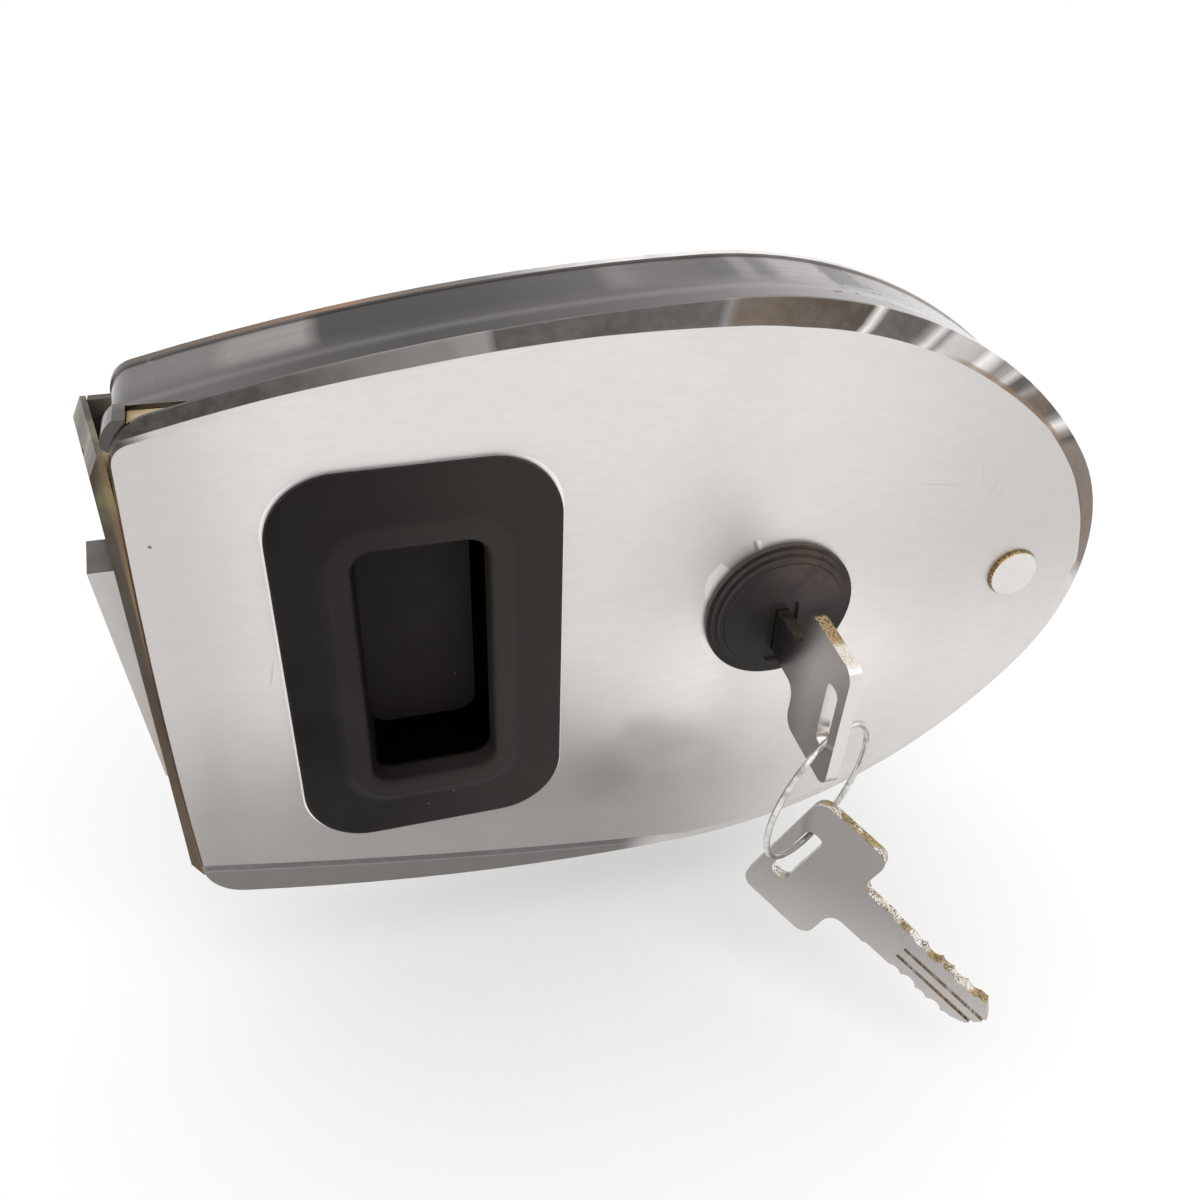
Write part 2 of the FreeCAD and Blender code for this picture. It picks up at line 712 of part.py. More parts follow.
def case_lid():
    half = case_half()
    front = LID_FRONT_Y - THROUGH
    rear = LID_REAR_Y + THROUGH
    lid = block(CASE_LEFT_X, CASE_RIGHT_X, LID_FRONT_Y, LID_REAR_Y, -half, half)
    lid = lid.cut(rod(PIVOT_X, PIVOT_Z, PIVOT_RADIUS + PIVOT_HEAD_GAP, front, rear))
    for x, z in case_screw_places():
        lid = lid.cut(rod(x, z, CUP_SCREW_RADIUS, front, rear))
    return lid


def case_screws():
    front = LID_FRONT_Y - CASE_SCREW_HEAD_THICK
    half = SLOT_WIDTH / 2
    screws = []
    for x, z in case_screw_places():
        head = rod(x, z, CASE_SCREW_HEAD, front, LID_FRONT_Y)
        slot = block(x - CASE_SCREW_HEAD, x + CASE_SCREW_HEAD, front, front + SLOT_DEPTH, z - half, z + half)
        shank = rod(x, z, CUP_SCREW_RADIUS, LID_FRONT_Y, LID_REAR_Y + CASE_SCREW_DEPTH)
        screws.append(head.cut(slot).fuse(shank))
    return Part.makeCompound(screws)


# Hook bolt

def bolt_outer_x(z):
    """Outer edge of the bolt on its front face at height z."""
    share = (z - BOLT_FOOT_Z) / (BOLT_TOP_Z - BOLT_FOOT_Z)
    return forend_front_x(BOLT_FRONT_Y) - BOLT_GAP - BOLT_PROUD * share


def bolt_profile():
    """Front view of the hook bolt as a face on its front plane."""
    top_left = bolt_outer_x(BOLT_TOP_Z)
    beak_in = top_left + BEAK_WIDTH
    web_right = BAR_PIN_X + WEB_SIDE
    points = [(top_left, BOLT_TOP_Z), (beak_in, BOLT_TOP_Z), (beak_in + BEAK_TAPER, THROAT_Z)]
    points += [(THROAT_IN_X, THROAT_Z), (SHOULDER_X, SHOULDER_Z), (BAR_PIN_X, SHOULDER_Z)]
    points += [(web_right, BAR_Z + WEB_SIDE / 2), (web_right, BAR_Z - WEB_SIDE)]
    points += [(PIVOT_X + BOSS_RADIUS, PIVOT_Z), (PIVOT_X - BOSS_RADIUS, PIVOT_Z)]
    points += [(bolt_outer_x(BOLT_FOOT_Z), BOLT_FOOT_Z)]
    return Part.Face(polygon(points, BOLT_FRONT_Y))


def hook_bolt():
    bolt = bolt_profile().extrude(Vector(0, BOLT_THICK, 0))
    upright = [edge for edge in bolt.Edges if inner_corner(edge)]
    bolt = bolt.makeFillet(BOLT_ROUND, upright)
    bolt = bolt.fuse(bolt_slant()).fuse(rod(PIVOT_X, PIVOT_Z, BOSS_RADIUS, BOLT_FRONT_Y, BOLT_REAR_Y))
    bore = rod(PIVOT_X, PIVOT_Z, PIVOT_RADIUS + PIN_FIT, BOLT_FRONT_Y - THROUGH, BOLT_REAR_Y + THROUGH)
    bolt = bolt.cut(bore)
    return bolt.cut(bolt_pin_slot()).removeSplitter()


def inner_corner(edge):
    """True for the corners of the throat and the web, which are rounded."""
    box = edge.BoundBox
    along_y = box.YLength > BOLT_THICK / 2
    return along_y and box.XMin > THROAT_IN_X - BOLT_ROUND and box.ZMin > 0


def bolt_slant():
    """Wedge that slants the outer edge with the bevelled forend."""
    shift = BOLT_THICK * SLANT_TAN
    top = Vector(bolt_outer_x(BOLT_TOP_Z), BOLT_FRONT_Y, BOLT_TOP_Z)
    foot = Vector(bolt_outer_x(BOLT_FOOT_Z), BOLT_FRONT_Y, BOLT_FOOT_Z)
    faces = []
    for point in (top, foot):
        rear = point.add(Vector(0, BOLT_THICK, 0))
        out = rear.add(Vector(-shift, 0, 0))
        faces.append(Part.makePolygon([point, rear, out, point]))
    return Part.makeLoft(faces, True, True)


def bolt_pin_slot():
    """Radial slot that the pin of the drive bar works in during the whole swing."""
    half = BAR_PIN_RADIUS + YOKE_PLAY
    far = PIN_HEIGHT / math.cos(math.radians(BOLT_LEAD))
    front = PIN_FRONT_Y - LAYER_GAP
    rear = BOLT_REAR_Y + THROUGH
    slot = block(PIVOT_X - half, PIVOT_X + half, front, rear, PIVOT_Z + PIN_HEIGHT, PIVOT_Z + far)
    for reach in (PIN_HEIGHT, far):
        slot = slot.fuse(rod(PIVOT_X, PIVOT_Z + reach, half, front, rear))
    slot.rotate(Vector(PIVOT_X, 0, PIVOT_Z), Y_AXIS, BOLT_LEAD)
    return slot


def bolt_pivot():
    pin = rod(PIVOT_X, PIVOT_Z, PIVOT_RADIUS, LID_FRONT_Y, BACK_Y)
    head = rod(PIVOT_X, PIVOT_Z, PIVOT_HEAD, LID_FRONT_Y - PIVOT_HEAD_THICK, LID_FRONT_Y)
    return pin.fuse(head)


def pivot_spacer():
    front = BOLT_REAR_Y + LAYER_GAP / 2
    ring = rod(PIVOT_X, PIVOT_Z, BOSS_RADIUS - SPACER_RIM, front, CHEEK_Y)
    return ring.cut(rod(PIVOT_X, PIVOT_Z, PIVOT_RADIUS, front - THROUGH, CHEEK_Y + THROUGH))


# Drive bar

def drive_bar():
    """Flat bar behind the finger pull with a fork over the cylinder's crank."""
    yoke_x = CYLINDER_X + BAR_TRAVEL / 2
    slot_half = CRANK_PIN_RADIUS + YOKE_PLAY
    low = BAR_Z - BAR_HEIGHT / 2
    high = BAR_Z + BAR_HEIGHT / 2
    tine_end = PLUG_TAIL_RADIUS + PART_GAP
    slot_top = CRANK_RADIUS + slot_half
    yoke_top = slot_top + YOKE_BRIDGE
    fork_right = yoke_x + slot_half + YOKE_TINE
    neck_x = GUIDE_XS[-1] + GUIDE_LENGTH + BAR_TRAVEL + YOKE_GAP
    bend_x = CYLINDER_X - PLUG_TAIL_RADIUS - YOKE_GAP
    strip = block(BAR_PIN_X, neck_x, BAR_FRONT_Y, BAR_REAR_Y, low, high)
    end = rod(BAR_PIN_X, BAR_Z, BAR_HEIGHT / 2, BAR_FRONT_Y, BAR_REAR_Y)
    points = [(neck_x, low), (neck_x, high), (bend_x, yoke_top), (fork_right, yoke_top)]
    points += [(fork_right, tine_end), (bend_x, tine_end)]
    bar = strip.fuse(end).fuse(slab(polygon(points, BAR_FRONT_Y), BAR_THICK))
    front = BAR_FRONT_Y - THROUGH
    rear = BAR_REAR_Y + THROUGH
    slot = block(yoke_x - slot_half, yoke_x + slot_half, front, rear, 0, slot_top)
    hole = rod(BAR_PIN_X, BAR_Z, BAR_PIN_RADIUS + PIVOT_HEAD_GAP, front, rear)
    return bar.cut(slot).cut(hole).removeSplitter()


def bolt_swing():
    """Degrees that the bolt swings while the bar makes its travel."""
    return BOLT_LEAD + math.degrees(math.atan(BAR_TRAVEL / PIN_HEIGHT - LEAD_TAN))


def drive_pin():
    return rod(BAR_PIN_X, BAR_Z, BAR_PIN_RADIUS, PIN_FRONT_Y, BAR_REAR_Y)


def bar_guides():
    """Two channels on the back plate that carry the drive bar."""
    guides = []
    half = BAR_HEIGHT / 2 + GUIDE_FIT
    low = BAR_Z - half
    high = BAR_Z + half
    roof = BAR_FRONT_Y - GUIDE_FIT
    floor = BAR_REAR_Y + GUIDE_FIT
    for x in GUIDE_XS:
        end = x + GUIDE_LENGTH
        guide = block(x, end, roof - GUIDE_ROOF, BACK_Y, low - GUIDE_SIDE, high + GUIDE_SIDE)
        guides.append(guide.cut(block(x - THROUGH, end + THROUGH, roof, floor, low, high)))
    return Part.makeCompound(guides)


# Key cylinder

def cylinder_body():
    """Threaded barrel with a head, bored for the plug."""
    front = FACE_Y - BARREL_HEAD_THICK
    barrel = rod(CYLINDER_X, 0, BARREL_RADIUS, front, -BARREL_REAR)
    barrel = barrel.fuse(rod(CYLINDER_X, 0, BARREL_HEAD, front, FACE_Y))
    barrel = barrel.cut(rod(CYLINDER_X, 0, PLUG_RADIUS + TURN_FIT, front - THROUGH, BARREL_STEP_Y))
    barrel = barrel.cut(rod(CYLINDER_X, 0, PLUG_TAIL_RADIUS + TURN_FIT, BARREL_STEP_Y - THROUGH, 0))
    return barrel.cut(plug_pin())


def plug_pin():
    """Cross pin in the barrel that rides in the plug's groove and holds it."""
    x = CYLINDER_X + PLUG_RADIUS
    y = PLUG_FACE_Y + PLUG_PIN_SETBACK
    return Part.makeCylinder(PLUG_PIN_RADIUS, 2 * PLUG_PIN_HALF, Vector(x, y, -PLUG_PIN_HALF), Vector(0, 0, 1))


def plug_groove():
    """The ring groove that the cross pin rides in."""
    y = PLUG_FACE_Y + PLUG_PIN_SETBACK
    half = PLUG_PIN_RADIUS + TURN_FIT
    ring = rod(CYLINDER_X, 0, PLUG_RADIUS + THROUGH, y - half, y + half)
    return ring.cut(rod(CYLINDER_X, 0, PLUG_RADIUS - half, y - half, y + half))


def cylinder_nut():
    radius = NUT_ACROSS / math.sqrt(3)
    centre = Vector(CYLINDER_X, COVER_BACK_Y, 0)
    corners = [polar(centre, radius, 30 + 60 * n) for n in range(6)]
    face = Part.Face(Part.makePolygon(corners + [corners[0]]))
    nut = face.extrude(Vector(0, NUT_THICK, 0))
    rear = COVER_BACK_Y + NUT_THICK + THROUGH
    return nut.cut(rod(CYLINDER_X, 0, BARREL_RADIUS, COVER_BACK_Y - THROUGH, rear))


def cylinder_cap():
    """Stepped plastic rosette round the keyhole."""
    hollow = BARREL_HEAD_THICK + DISC_GAP
    seat = DISC_PROUD - DISC_THICK - DISC_GAP
    turning = DISC_RADIUS + TURN_FIT
    throat = PLUG_RADIUS + PART_GAP
    head = BARREL_HEAD + TURN_FIT
    points = [(head, 0)]
    low = 0
    for radius, top in CAP_STEPS:
        points += [(radius, low), (radius, top)]
        low = top
    points += [(turning, low), (turning, seat), (throat, seat), (throat, hollow), (head, hollow)]
    corners = [Vector(CYLINDER_X + r, FACE_Y - h, 0) for r, h in points]
    face = Part.Face(Part.makePolygon(corners + [corners[0]]))
    return face.revolve(Vector(CYLINDER_X, 0, 0), Y_AXIS, 360)


def keyway(y_front, y_rear):
    """Slot for the blade, which rises to the rear as the key droops."""
    half = KEY_THICK / 2 + KEYWAY_GAP
    slope = math.tan(math.radians(KEY_DROOP))
    low = BLADE_MID_Z - BLADE_WIDTH / 2 - 2 * KEYWAY_GAP
    high = BLADE_MID_Z + BLADE_WIDTH / 2 + 2 * KEYWAY_GAP
    points = [(y_front, low), (y_rear, low)]
    points += [(y_rear, high + (y_rear - MOUTH_Y) * slope), (y_front, high + (y_front - MOUTH_Y) * slope)]
    corners = [Vector(CYLINDER_X - half, y, z) for y, z in points]
    face = Part.Face(Part.makePolygon(corners + [corners[0]]))
    return face.extrude(Vector(2 * half, 0, 0))


def wafer_ys():
    first = PLUG_FACE_Y + WAFER_FIRST
    return [first + n * WAFER_PITCH for n in range(WAFER_COUNT)]


def wafer(y, gap):
    """One wafer above the keyway, or its slot when gap is positive."""
    top = PLUG_RADIUS - WAFER_INSET
    low = top - WAFER_HEIGHT
    x_low = CYLINDER_X - WAFER_WIDTH / 2 - gap
    x_high = CYLINDER_X + WAFER_WIDTH / 2 + gap
    return block(x_low, x_high, y - gap, y + WAFER_THICK + gap, low - gap, top)


def cylinder_plug():
    tail_front = BARREL_STEP_Y - TURN_FIT
    plug = rod(CYLINDER_X, 0, PLUG_RADIUS, PLUG_FACE_Y, tail_front)
    plug = plug.fuse(rod(CYLINDER_X, 0, PLUG_TAIL_RADIUS, tail_front, -TAIL_END))
    plug = plug.cut(keyway(PLUG_FACE_Y - THROUGH, THROUGH)).cut(plug_groove()).cut(tail_sides(0))
    for y in wafer_ys():
        plug = plug.cut(wafer(y, TURN_FIT))
    return plug.removeSplitter()


def tail_sides(fit):
    """The metal beside the two flats that drive the cam."""
    flat = TAIL_FLAT + fit
    reach = PLUG_TAIL_RADIUS + THROUGH
    band = rod(CYLINDER_X, 0, reach, CHEEK_Y, BACK_Y - CAM_SETBACK)
    return band.cut(block(CYLINDER_X - flat, CYLINDER_X + flat, CHEEK_Y - THROUGH, 0, -reach, reach))


def plug_wafers():
    return Part.makeCompound([wafer(y, 0) for y in wafer_ys()])


def plug_cam():
    """Cam on the flats of the plug's tail with the crank pin that drives the bar."""
    rear = BACK_Y - CAM_SETBACK
    cam = rod(CYLINDER_X, 0, CRANK_HUB, CHEEK_Y, rear)
    pin = polar(Vector(CYLINDER_X, 0, 0), CRANK_RADIUS, 90 - KEY_TURN / 2)
    cam = cam.fuse(rod(pin.x, pin.z, CRANK_FLANK, CHEEK_Y, rear))
    cam = cam.fuse(rod(pin.x, pin.z, CRANK_PIN_RADIUS, BAR_FRONT_Y - PART_GAP, CHEEK_Y))
    bore = rod(CYLINDER_X, 0, PLUG_TAIL_RADIUS + PIN_FIT, CHEEK_Y - THROUGH, rear + THROUGH)
    return cam.cut(bore).fuse(tail_sides(PIN_FIT)).removeSplitter()


def keyhole_disc():
    """Turning disc over the plug with a sunk keyhole."""
    disc = rod(CYLINDER_X, 0, DISC_RADIUS, MOUTH_Y, MOUTH_Y + DISC_THICK)
    sunk = round_rect(KEYHOLE_WIDTH, KEYHOLE_HEIGHT, KEYHOLE_WIDTH / 4, MOUTH_Y)
    sunk.translate(Vector(CYLINDER_X, 0, BLADE_MID_Z))
    disc = disc.cut(slab(sunk, KEYHOLE_DEPTH))
    return disc.cut(keyway(MOUTH_Y - THROUGH, MOUTH_Y + DISC_THICK + THROUGH))


# Keys and ring

def key_shape(width_axis, axis, start):
    """A key with its far bow edge at start, pointing along axis."""
    half = BOW_WIDTH / 2
    plate = key_plate([(-half, 0), (half, 0), (half, BOW_LENGTH), (-half, BOW_LENGTH)])
    upright = [edge for edge in plate.Edges if edge.BoundBox.ZLength > KEY_THICK / 2]
    solid = plate.makeFillet(BOW_CORNER, upright).fuse(key_plate(blade_points())).fuse(key_shoulders())
    solid = solid.cut(key_bitting()).cut(key_hole()).cut(key_grooves())
    solid.translate(Vector(0, 0, -KEY_THICK / 2))
    normal = width_axis.cross(axis).normalize()
    turn = Rotation(width_axis, axis, normal, "XYZ")
    solid.Placement = Placement(start, turn).multiply(solid.Placement)
    return solid


def key_plate(points):
    """A flat of the key's thickness from its outline points."""
    corners = [Vector(x, y, 0) for x, y in points]
    return Part.Face(Part.makePolygon(corners + [corners[0]])).extrude(Vector(0, 0, KEY_THICK))


def blade_points():
    """Outline of the neck and blade, which tapers to a point beside its middle."""
    neck = NECK_WIDTH / 2
    edge = BLADE_WIDTH / 2
    step = BOW_LENGTH + NECK_LENGTH
    end = BOW_LENGTH + BLADE_LENGTH
    knee_x, knee_rise = TIP_KNEE
    root = BOW_LENGTH - NECK_STEP
    return [(-neck, root), (neck, root), (neck, step), (edge, step + NECK_STEP), (edge, end - TIP_NEAR),
            (TIP_X, end), (knee_x, end - knee_rise), (-edge, end - TIP_FAR), (-edge, step + NECK_STEP),
            (-neck, step)]


def key_shoulders():
    """Curved fillets where the bow runs into the blade."""
    neck = NECK_WIDTH / 2
    size = NECK_ROUND + NECK_STEP
    parts = []
    for side in (-1, 1):
        corner = Vector(side * (neck + NECK_ROUND), BOW_LENGTH + NECK_ROUND, 0)
        x_low = min(side * (neck - NECK_STEP), side * (neck + NECK_ROUND))
        square = Part.makeBox(size, size, KEY_THICK, Vector(x_low, BOW_LENGTH - NECK_STEP, 0))
        parts.append(square.cut(Part.makeCylinder(NECK_ROUND, KEY_THICK, corner)))
    return parts[0].fuse(parts[1])


def key_bitting():
    """Round cuts along both edges of the blade."""
    edge = BLADE_WIDTH / 2
    cuts = []
    for place, depth in BITTING:
        for side in (-1, 1):
            offset = BITTING_OFFSET if side < 0 else 0
            centre = Vector(side * (edge - depth + BITTING_RADIUS), BOW_LENGTH + place + offset, -THROUGH)
            cuts.append(Part.makeCylinder(BITTING_RADIUS, KEY_THICK + 2 * THROUGH, centre))
    return Part.makeCompound(cuts)


def key_hole():
    """Long hole across the bow for the ring."""
    corner = Vector(-KEY_HOLE_LENGTH / 2, KEY_HOLE_INSET - KEY_HOLE_WIDTH / 2, -THROUGH)
    hole = Part.makeBox(KEY_HOLE_LENGTH, KEY_HOLE_WIDTH, KEY_THICK + 2 * THROUGH, corner)
    upright = [edge for edge in hole.Edges if edge.BoundBox.ZLength > KEY_THICK / 2]
    return hole.makeFillet(KEY_HOLE_ROUND, upright)


def key_grooves():
    """Milled grooves along both faces of the blade."""
    start = BOW_LENGTH + GROOVE_START
    length = BLADE_LENGTH - GROOVE_START + THROUGH
    cuts = []
    for x in GROOVE_XS:
        for z in (-THROUGH, KEY_THICK - GROOVE_DEPTH):
            cuts.append(Part.makeBox(GROOVE_WIDTH, length, GROOVE_DEPTH + THROUGH, Vector(x, start, z)))
    return Part.makeCompound(cuts)


def key_frame():
    """Width axis, axis and far bow edge of the key in the lock."""
    droop = math.radians(KEY_DROOP)
    axis = Vector(0, math.cos(droop), math.sin(droop))
    width_axis = Vector(0, -math.sin(droop), math.cos(droop))
    mouth = Vector(CYLINDER_X, MOUTH_Y, BLADE_MID_Z)
    start = mouth.sub(Vector(axis).multiply(KEY_OUT + BOW_LENGTH))
    return width_axis, axis, start


def ring_start():
    """Where the ring hangs at the low, outer corner of the key's hole."""
    width_axis, axis, start = key_frame()
    low = KEY_HOLE_LENGTH / 2 - RING_WIRE - RING_REST
    along = KEY_HOLE_INSET - KEY_HOLE_WIDTH / 2 + RING_WIRE + RING_SIDE
    return start.add(Vector(axis).multiply(along)).sub(Vector(width_axis).multiply(low))


def ring_vectors():
    down = Vector(RING_DOWN).normalize()
    normal = down.cross(RING_ALONG).normalize()
    return down, normal


def ring_end():
    """Where the spare key hangs on the ring."""
    down, normal = ring_vectors()
    return ring_start().add(down.multiply(2 * RING_RADIUS))


def key_ring():
    down, normal = ring_vectors()
    centre = ring_start().add(down.multiply(RING_RADIUS))
    return Part.makeTorus(RING_RADIUS, RING_WIRE, centre, normal)


def spare_key():
    axis = Vector(SPARE_AXIS).normalize()
    normal = Vector(SPARE_WIDTH).cross(axis).normalize()
    width_axis = axis.cross(normal).normalize()
    hang = KEY_HOLE_INSET - KEY_HOLE_WIDTH / 2 + RING_WIRE + SPARE_REST
    start = ring_end().sub(Vector(width_axis).multiply(SPARE_SLOT_POINT)).sub(Vector(axis).multiply(hang))
    return key_shape(width_axis, axis, start)


def key():
    width_axis, axis, start = key_frame()
    return key_shape(width_axis, axis, start)


# Finger pull

def pocket(wall, depth):
    """Drafted pocket body, grown by wall."""
    crest = FACE_Y - CUP_FLANGE - BEAD_HEIGHT
    mouth = round_rect(POCKET_WIDTH + 2 * wall, POCKET_HEIGHT + 2 * wall, POCKET_CORNER + wall, crest)
    floor_width = POCKET_WIDTH - 2 * POCKET_DRAFT_SIDE + 2 * wall
    floor_height = POCKET_HEIGHT - 2 * POCKET_DRAFT_END + 2 * wall
    floor = round_rect(floor_width, floor_height, POCKET_CORNER + wall, FACE_Y + depth)
    return Part.makeLoft([mouth, floor], True, True)


def front_edges(solid, y):
    """The edges of a solid that lie in its front plane at y."""
    return [edge for edge in solid.Edges if abs(edge.BoundBox.YMax - y) < NEAR]


def cup_bead():
    """Soft raised bead round the pocket: sloped outside, with a rounded crest."""
    foot_y = FACE_Y - CUP_FLANGE
    crest_y = foot_y - BEAD_HEIGHT
    wires = []
    for reach, y in ((BEAD_FOOT, foot_y), (BEAD_WIDTH, crest_y)):
        wires.append(round_rect(POCKET_WIDTH + 2 * reach, POCKET_HEIGHT + 2 * reach, POCKET_CORNER + reach, y))
    bead = Part.makeLoft(wires, True, True)
    return bead.makeFillet(BEAD_ROUND, front_edges(bead, crest_y))


def pull_cup():
    front = FACE_Y - CUP_FLANGE
    middle = front + CUP_FLANGE / 2
    flange = slab(round_rect(CUP_WIDTH, CUP_HEIGHT, CUP_CORNER, front), CUP_FLANGE)
    flange = flange.makeFillet(CUP_EDGE, front_edges(flange, front))
    reach = CUP_HEIGHT
    shell = pocket(POCKET_WALL, POCKET_DEPTH + POCKET_WALL)
    shell = shell.common(block(-reach, reach, middle, 0, -reach, reach))
    cup = flange.fuse(cup_bead()).fuse(shell).cut(pocket(0, POCKET_DEPTH))
    for x, z in cup_screw_places():
        cup = cup.cut(rod(x, z, CUP_SCREW_RADIUS, middle, FACE_Y))
    mouth = [edge for edge in front_edges(cup, front - BEAD_HEIGHT) if inside_mouth(edge)]
    return cup.makeFillet(MOUTH_ROUND, mouth)


def inside_mouth(edge):
    """True for an edge on the pocket's own mouth."""
    box = edge.BoundBox
    wide = max(abs(box.XMin), abs(box.XMax)) < POCKET_WIDTH / 2 + SEAM
    return wide and max(abs(box.ZMin), abs(box.ZMax)) < POCKET_HEIGHT / 2 + SEAM


def cup_screw_places():
    z = POCKET_HEIGHT / 2 + POCKET_WALL + RETAINER_REACH / 2
    return [(side_x * CUP_SCREW_X, side_z * z) for side_x in (-1, 1) for side_z in (-1, 1)]


def cup_retainer():
    """Steel frame behind the cover that clamps the finger pull."""
    width = POCKET_WIDTH + 2 * POCKET_WALL + 2 * RETAINER_REACH
    height = POCKET_HEIGHT + 2 * POCKET_WALL + 2 * RETAINER_REACH
    front = COVER_BACK_Y - THROUGH
    rear = COVER_BACK_Y + RETAINER_THICK + THROUGH
    plate = slab(round_rect(width, height, RETAINER_CORNER, COVER_BACK_Y), RETAINER_THICK)
    plate = plate.cut(cup_opening(front, rear, PART_GAP))
    for x, z in cup_screw_places():
        plate = plate.cut(rod(x, z, CUP_SCREW_RADIUS, front, rear))
    return plate


def cup_screws():
    seat = COVER_BACK_Y + RETAINER_THICK
    screws = []
    for x, z in cup_screw_places():
        head = rod(x, z, 2 * CUP_SCREW_RADIUS, seat, seat + CUP_SCREW_RADIUS)
        screws.append(head.fuse(rod(x, z, CUP_SCREW_RADIUS, FACE_Y - CUP_FLANGE / 2, seat)))
    return Part.makeCompound(screws)


NODES = {
    "front_cover": front_cover,
    "body_shell": body_shell,
    "back_plate": back_plate,
    "mount_bosses": mount_bosses,
    "spacer_posts": spacer_posts,
    "back_screws": back_screws,
    "tip_post": tip_post,
    "tip_stud": tip_stud,
    "forend": forend,
    "forend_screws": forend_screws,
    "lock_case": lock_case,
    "case_lid": case_lid,
    "case_screws": case_screws,
    "hook_bolt": hook_bolt,
    "bolt_pivot": bolt_pivot,
    "pivot_spacer": pivot_spacer,
    "drive_bar": drive_bar,
    "drive_pin": drive_pin,
    "bar_guides": bar_guides,
    "cylinder_body": cylinder_body,
    "plug_pin": plug_pin,
    "cylinder_nut": cylinder_nut,
    "cylinder_cap": cylinder_cap,
    "cylinder_plug": cylinder_plug,
    "plug_wafers": plug_wafers,
    "plug_cam": plug_cam,
    "keyhole_disc": keyhole_disc,
    "key": key,
    "key_ring": key_ring,
    "spare_key": spare_key,
    "pull_cup": pull_cup,
    "cup_retainer": cup_retainer,
    "cup_screws": cup_screws,
}


def main():
    os.makedirs("parts", exist_ok=True)
    for name, make in NODES.items():
        shape = make()
        save(name, shape)
        print(name, len(shape.Solids), "solids", round(shape.Volume, 1), "mm3", shape.isValid())
    print("ring start", ring_start(), "ring end", ring_end())
    print("bar travel", round(BAR_TRAVEL, 3), "bolt swing", round(bolt_swing(), 3))


main()
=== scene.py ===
"""Look of a sliding action latch: satin cover, polished case, black finger pull, cylinder and two keys."""

import math

import bpy
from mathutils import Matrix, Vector

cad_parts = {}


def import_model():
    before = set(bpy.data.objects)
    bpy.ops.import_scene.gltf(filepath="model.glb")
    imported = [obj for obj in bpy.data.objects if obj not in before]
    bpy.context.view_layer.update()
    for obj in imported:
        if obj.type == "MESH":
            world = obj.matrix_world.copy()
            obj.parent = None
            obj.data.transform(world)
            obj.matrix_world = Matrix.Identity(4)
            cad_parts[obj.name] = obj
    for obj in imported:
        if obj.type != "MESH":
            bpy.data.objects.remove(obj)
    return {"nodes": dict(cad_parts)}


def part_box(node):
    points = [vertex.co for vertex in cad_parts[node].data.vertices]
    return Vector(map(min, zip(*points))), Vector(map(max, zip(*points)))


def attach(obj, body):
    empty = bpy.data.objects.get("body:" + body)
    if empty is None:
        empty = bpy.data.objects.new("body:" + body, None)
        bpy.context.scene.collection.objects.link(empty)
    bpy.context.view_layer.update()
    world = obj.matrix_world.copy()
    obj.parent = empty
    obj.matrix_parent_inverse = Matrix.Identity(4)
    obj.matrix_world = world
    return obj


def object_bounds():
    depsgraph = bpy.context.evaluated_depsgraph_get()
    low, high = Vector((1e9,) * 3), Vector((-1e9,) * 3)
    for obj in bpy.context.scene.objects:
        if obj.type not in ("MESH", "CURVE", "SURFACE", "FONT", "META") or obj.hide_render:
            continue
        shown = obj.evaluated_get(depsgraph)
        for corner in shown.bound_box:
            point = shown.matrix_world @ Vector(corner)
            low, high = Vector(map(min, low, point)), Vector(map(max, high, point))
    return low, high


MM = 0.001
DEGREES = 180 / math.pi

# How metallic plated and satin steel are.
PLATED = 0.85

# A colour ramp holds 32 stops, so longer bands are cut into ramps of this many.
RAMP_STOPS = 28

# Matt grain of moulded plastic.
GRAIN_SCALE = 2600.0
GRAIN_DEPTH = 0.06 * MM

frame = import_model()
cad_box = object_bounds()
nodes = frame["nodes"]


# ---------------------------------------------------------------- places, from the frame
FACE_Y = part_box("front_cover")[0][1]
COVER_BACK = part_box("front_cover")[1][1]
CUP_LOW, CUP_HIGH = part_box("pull_cup")
CAP_LOW, CAP_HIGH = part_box("cylinder_cap")
CAP_X = (CAP_LOW[0] + CAP_HIGH[0]) / 2
CAP_RADIUS = (CAP_HIGH[0] - CAP_LOW[0]) / 2

# Angles along the rim are measured round this point on the middle line.
HUB_X = 45 * MM

# The rim is made of three arcs on each side: long flank, shoulder and nose.
APEX_X = 49 * MM
HALF_HEIGHT = 57.4 * MM
FLANK_RADIUS = 370 * MM
SHOULDER_RADIUS = 86.5 * MM
NOSE_CENTRE_X = 86.8 * MM
NOSE_RADIUS = 38.8 * MM
CUP_CORNER = 10 * MM


# ---------------------------------------------------------------- node helpers
def srgb(red, green, blue):
    """A colour given as it is seen on a screen, 0 to 255, in the linear values that shaders take."""
    def linear(value):
        value = value / 255
        return value / 12.92 if value <= 0.04045 else ((value + 0.055) / 1.055) ** 2.4
    return (linear(red), linear(green), linear(blue), 1.0)


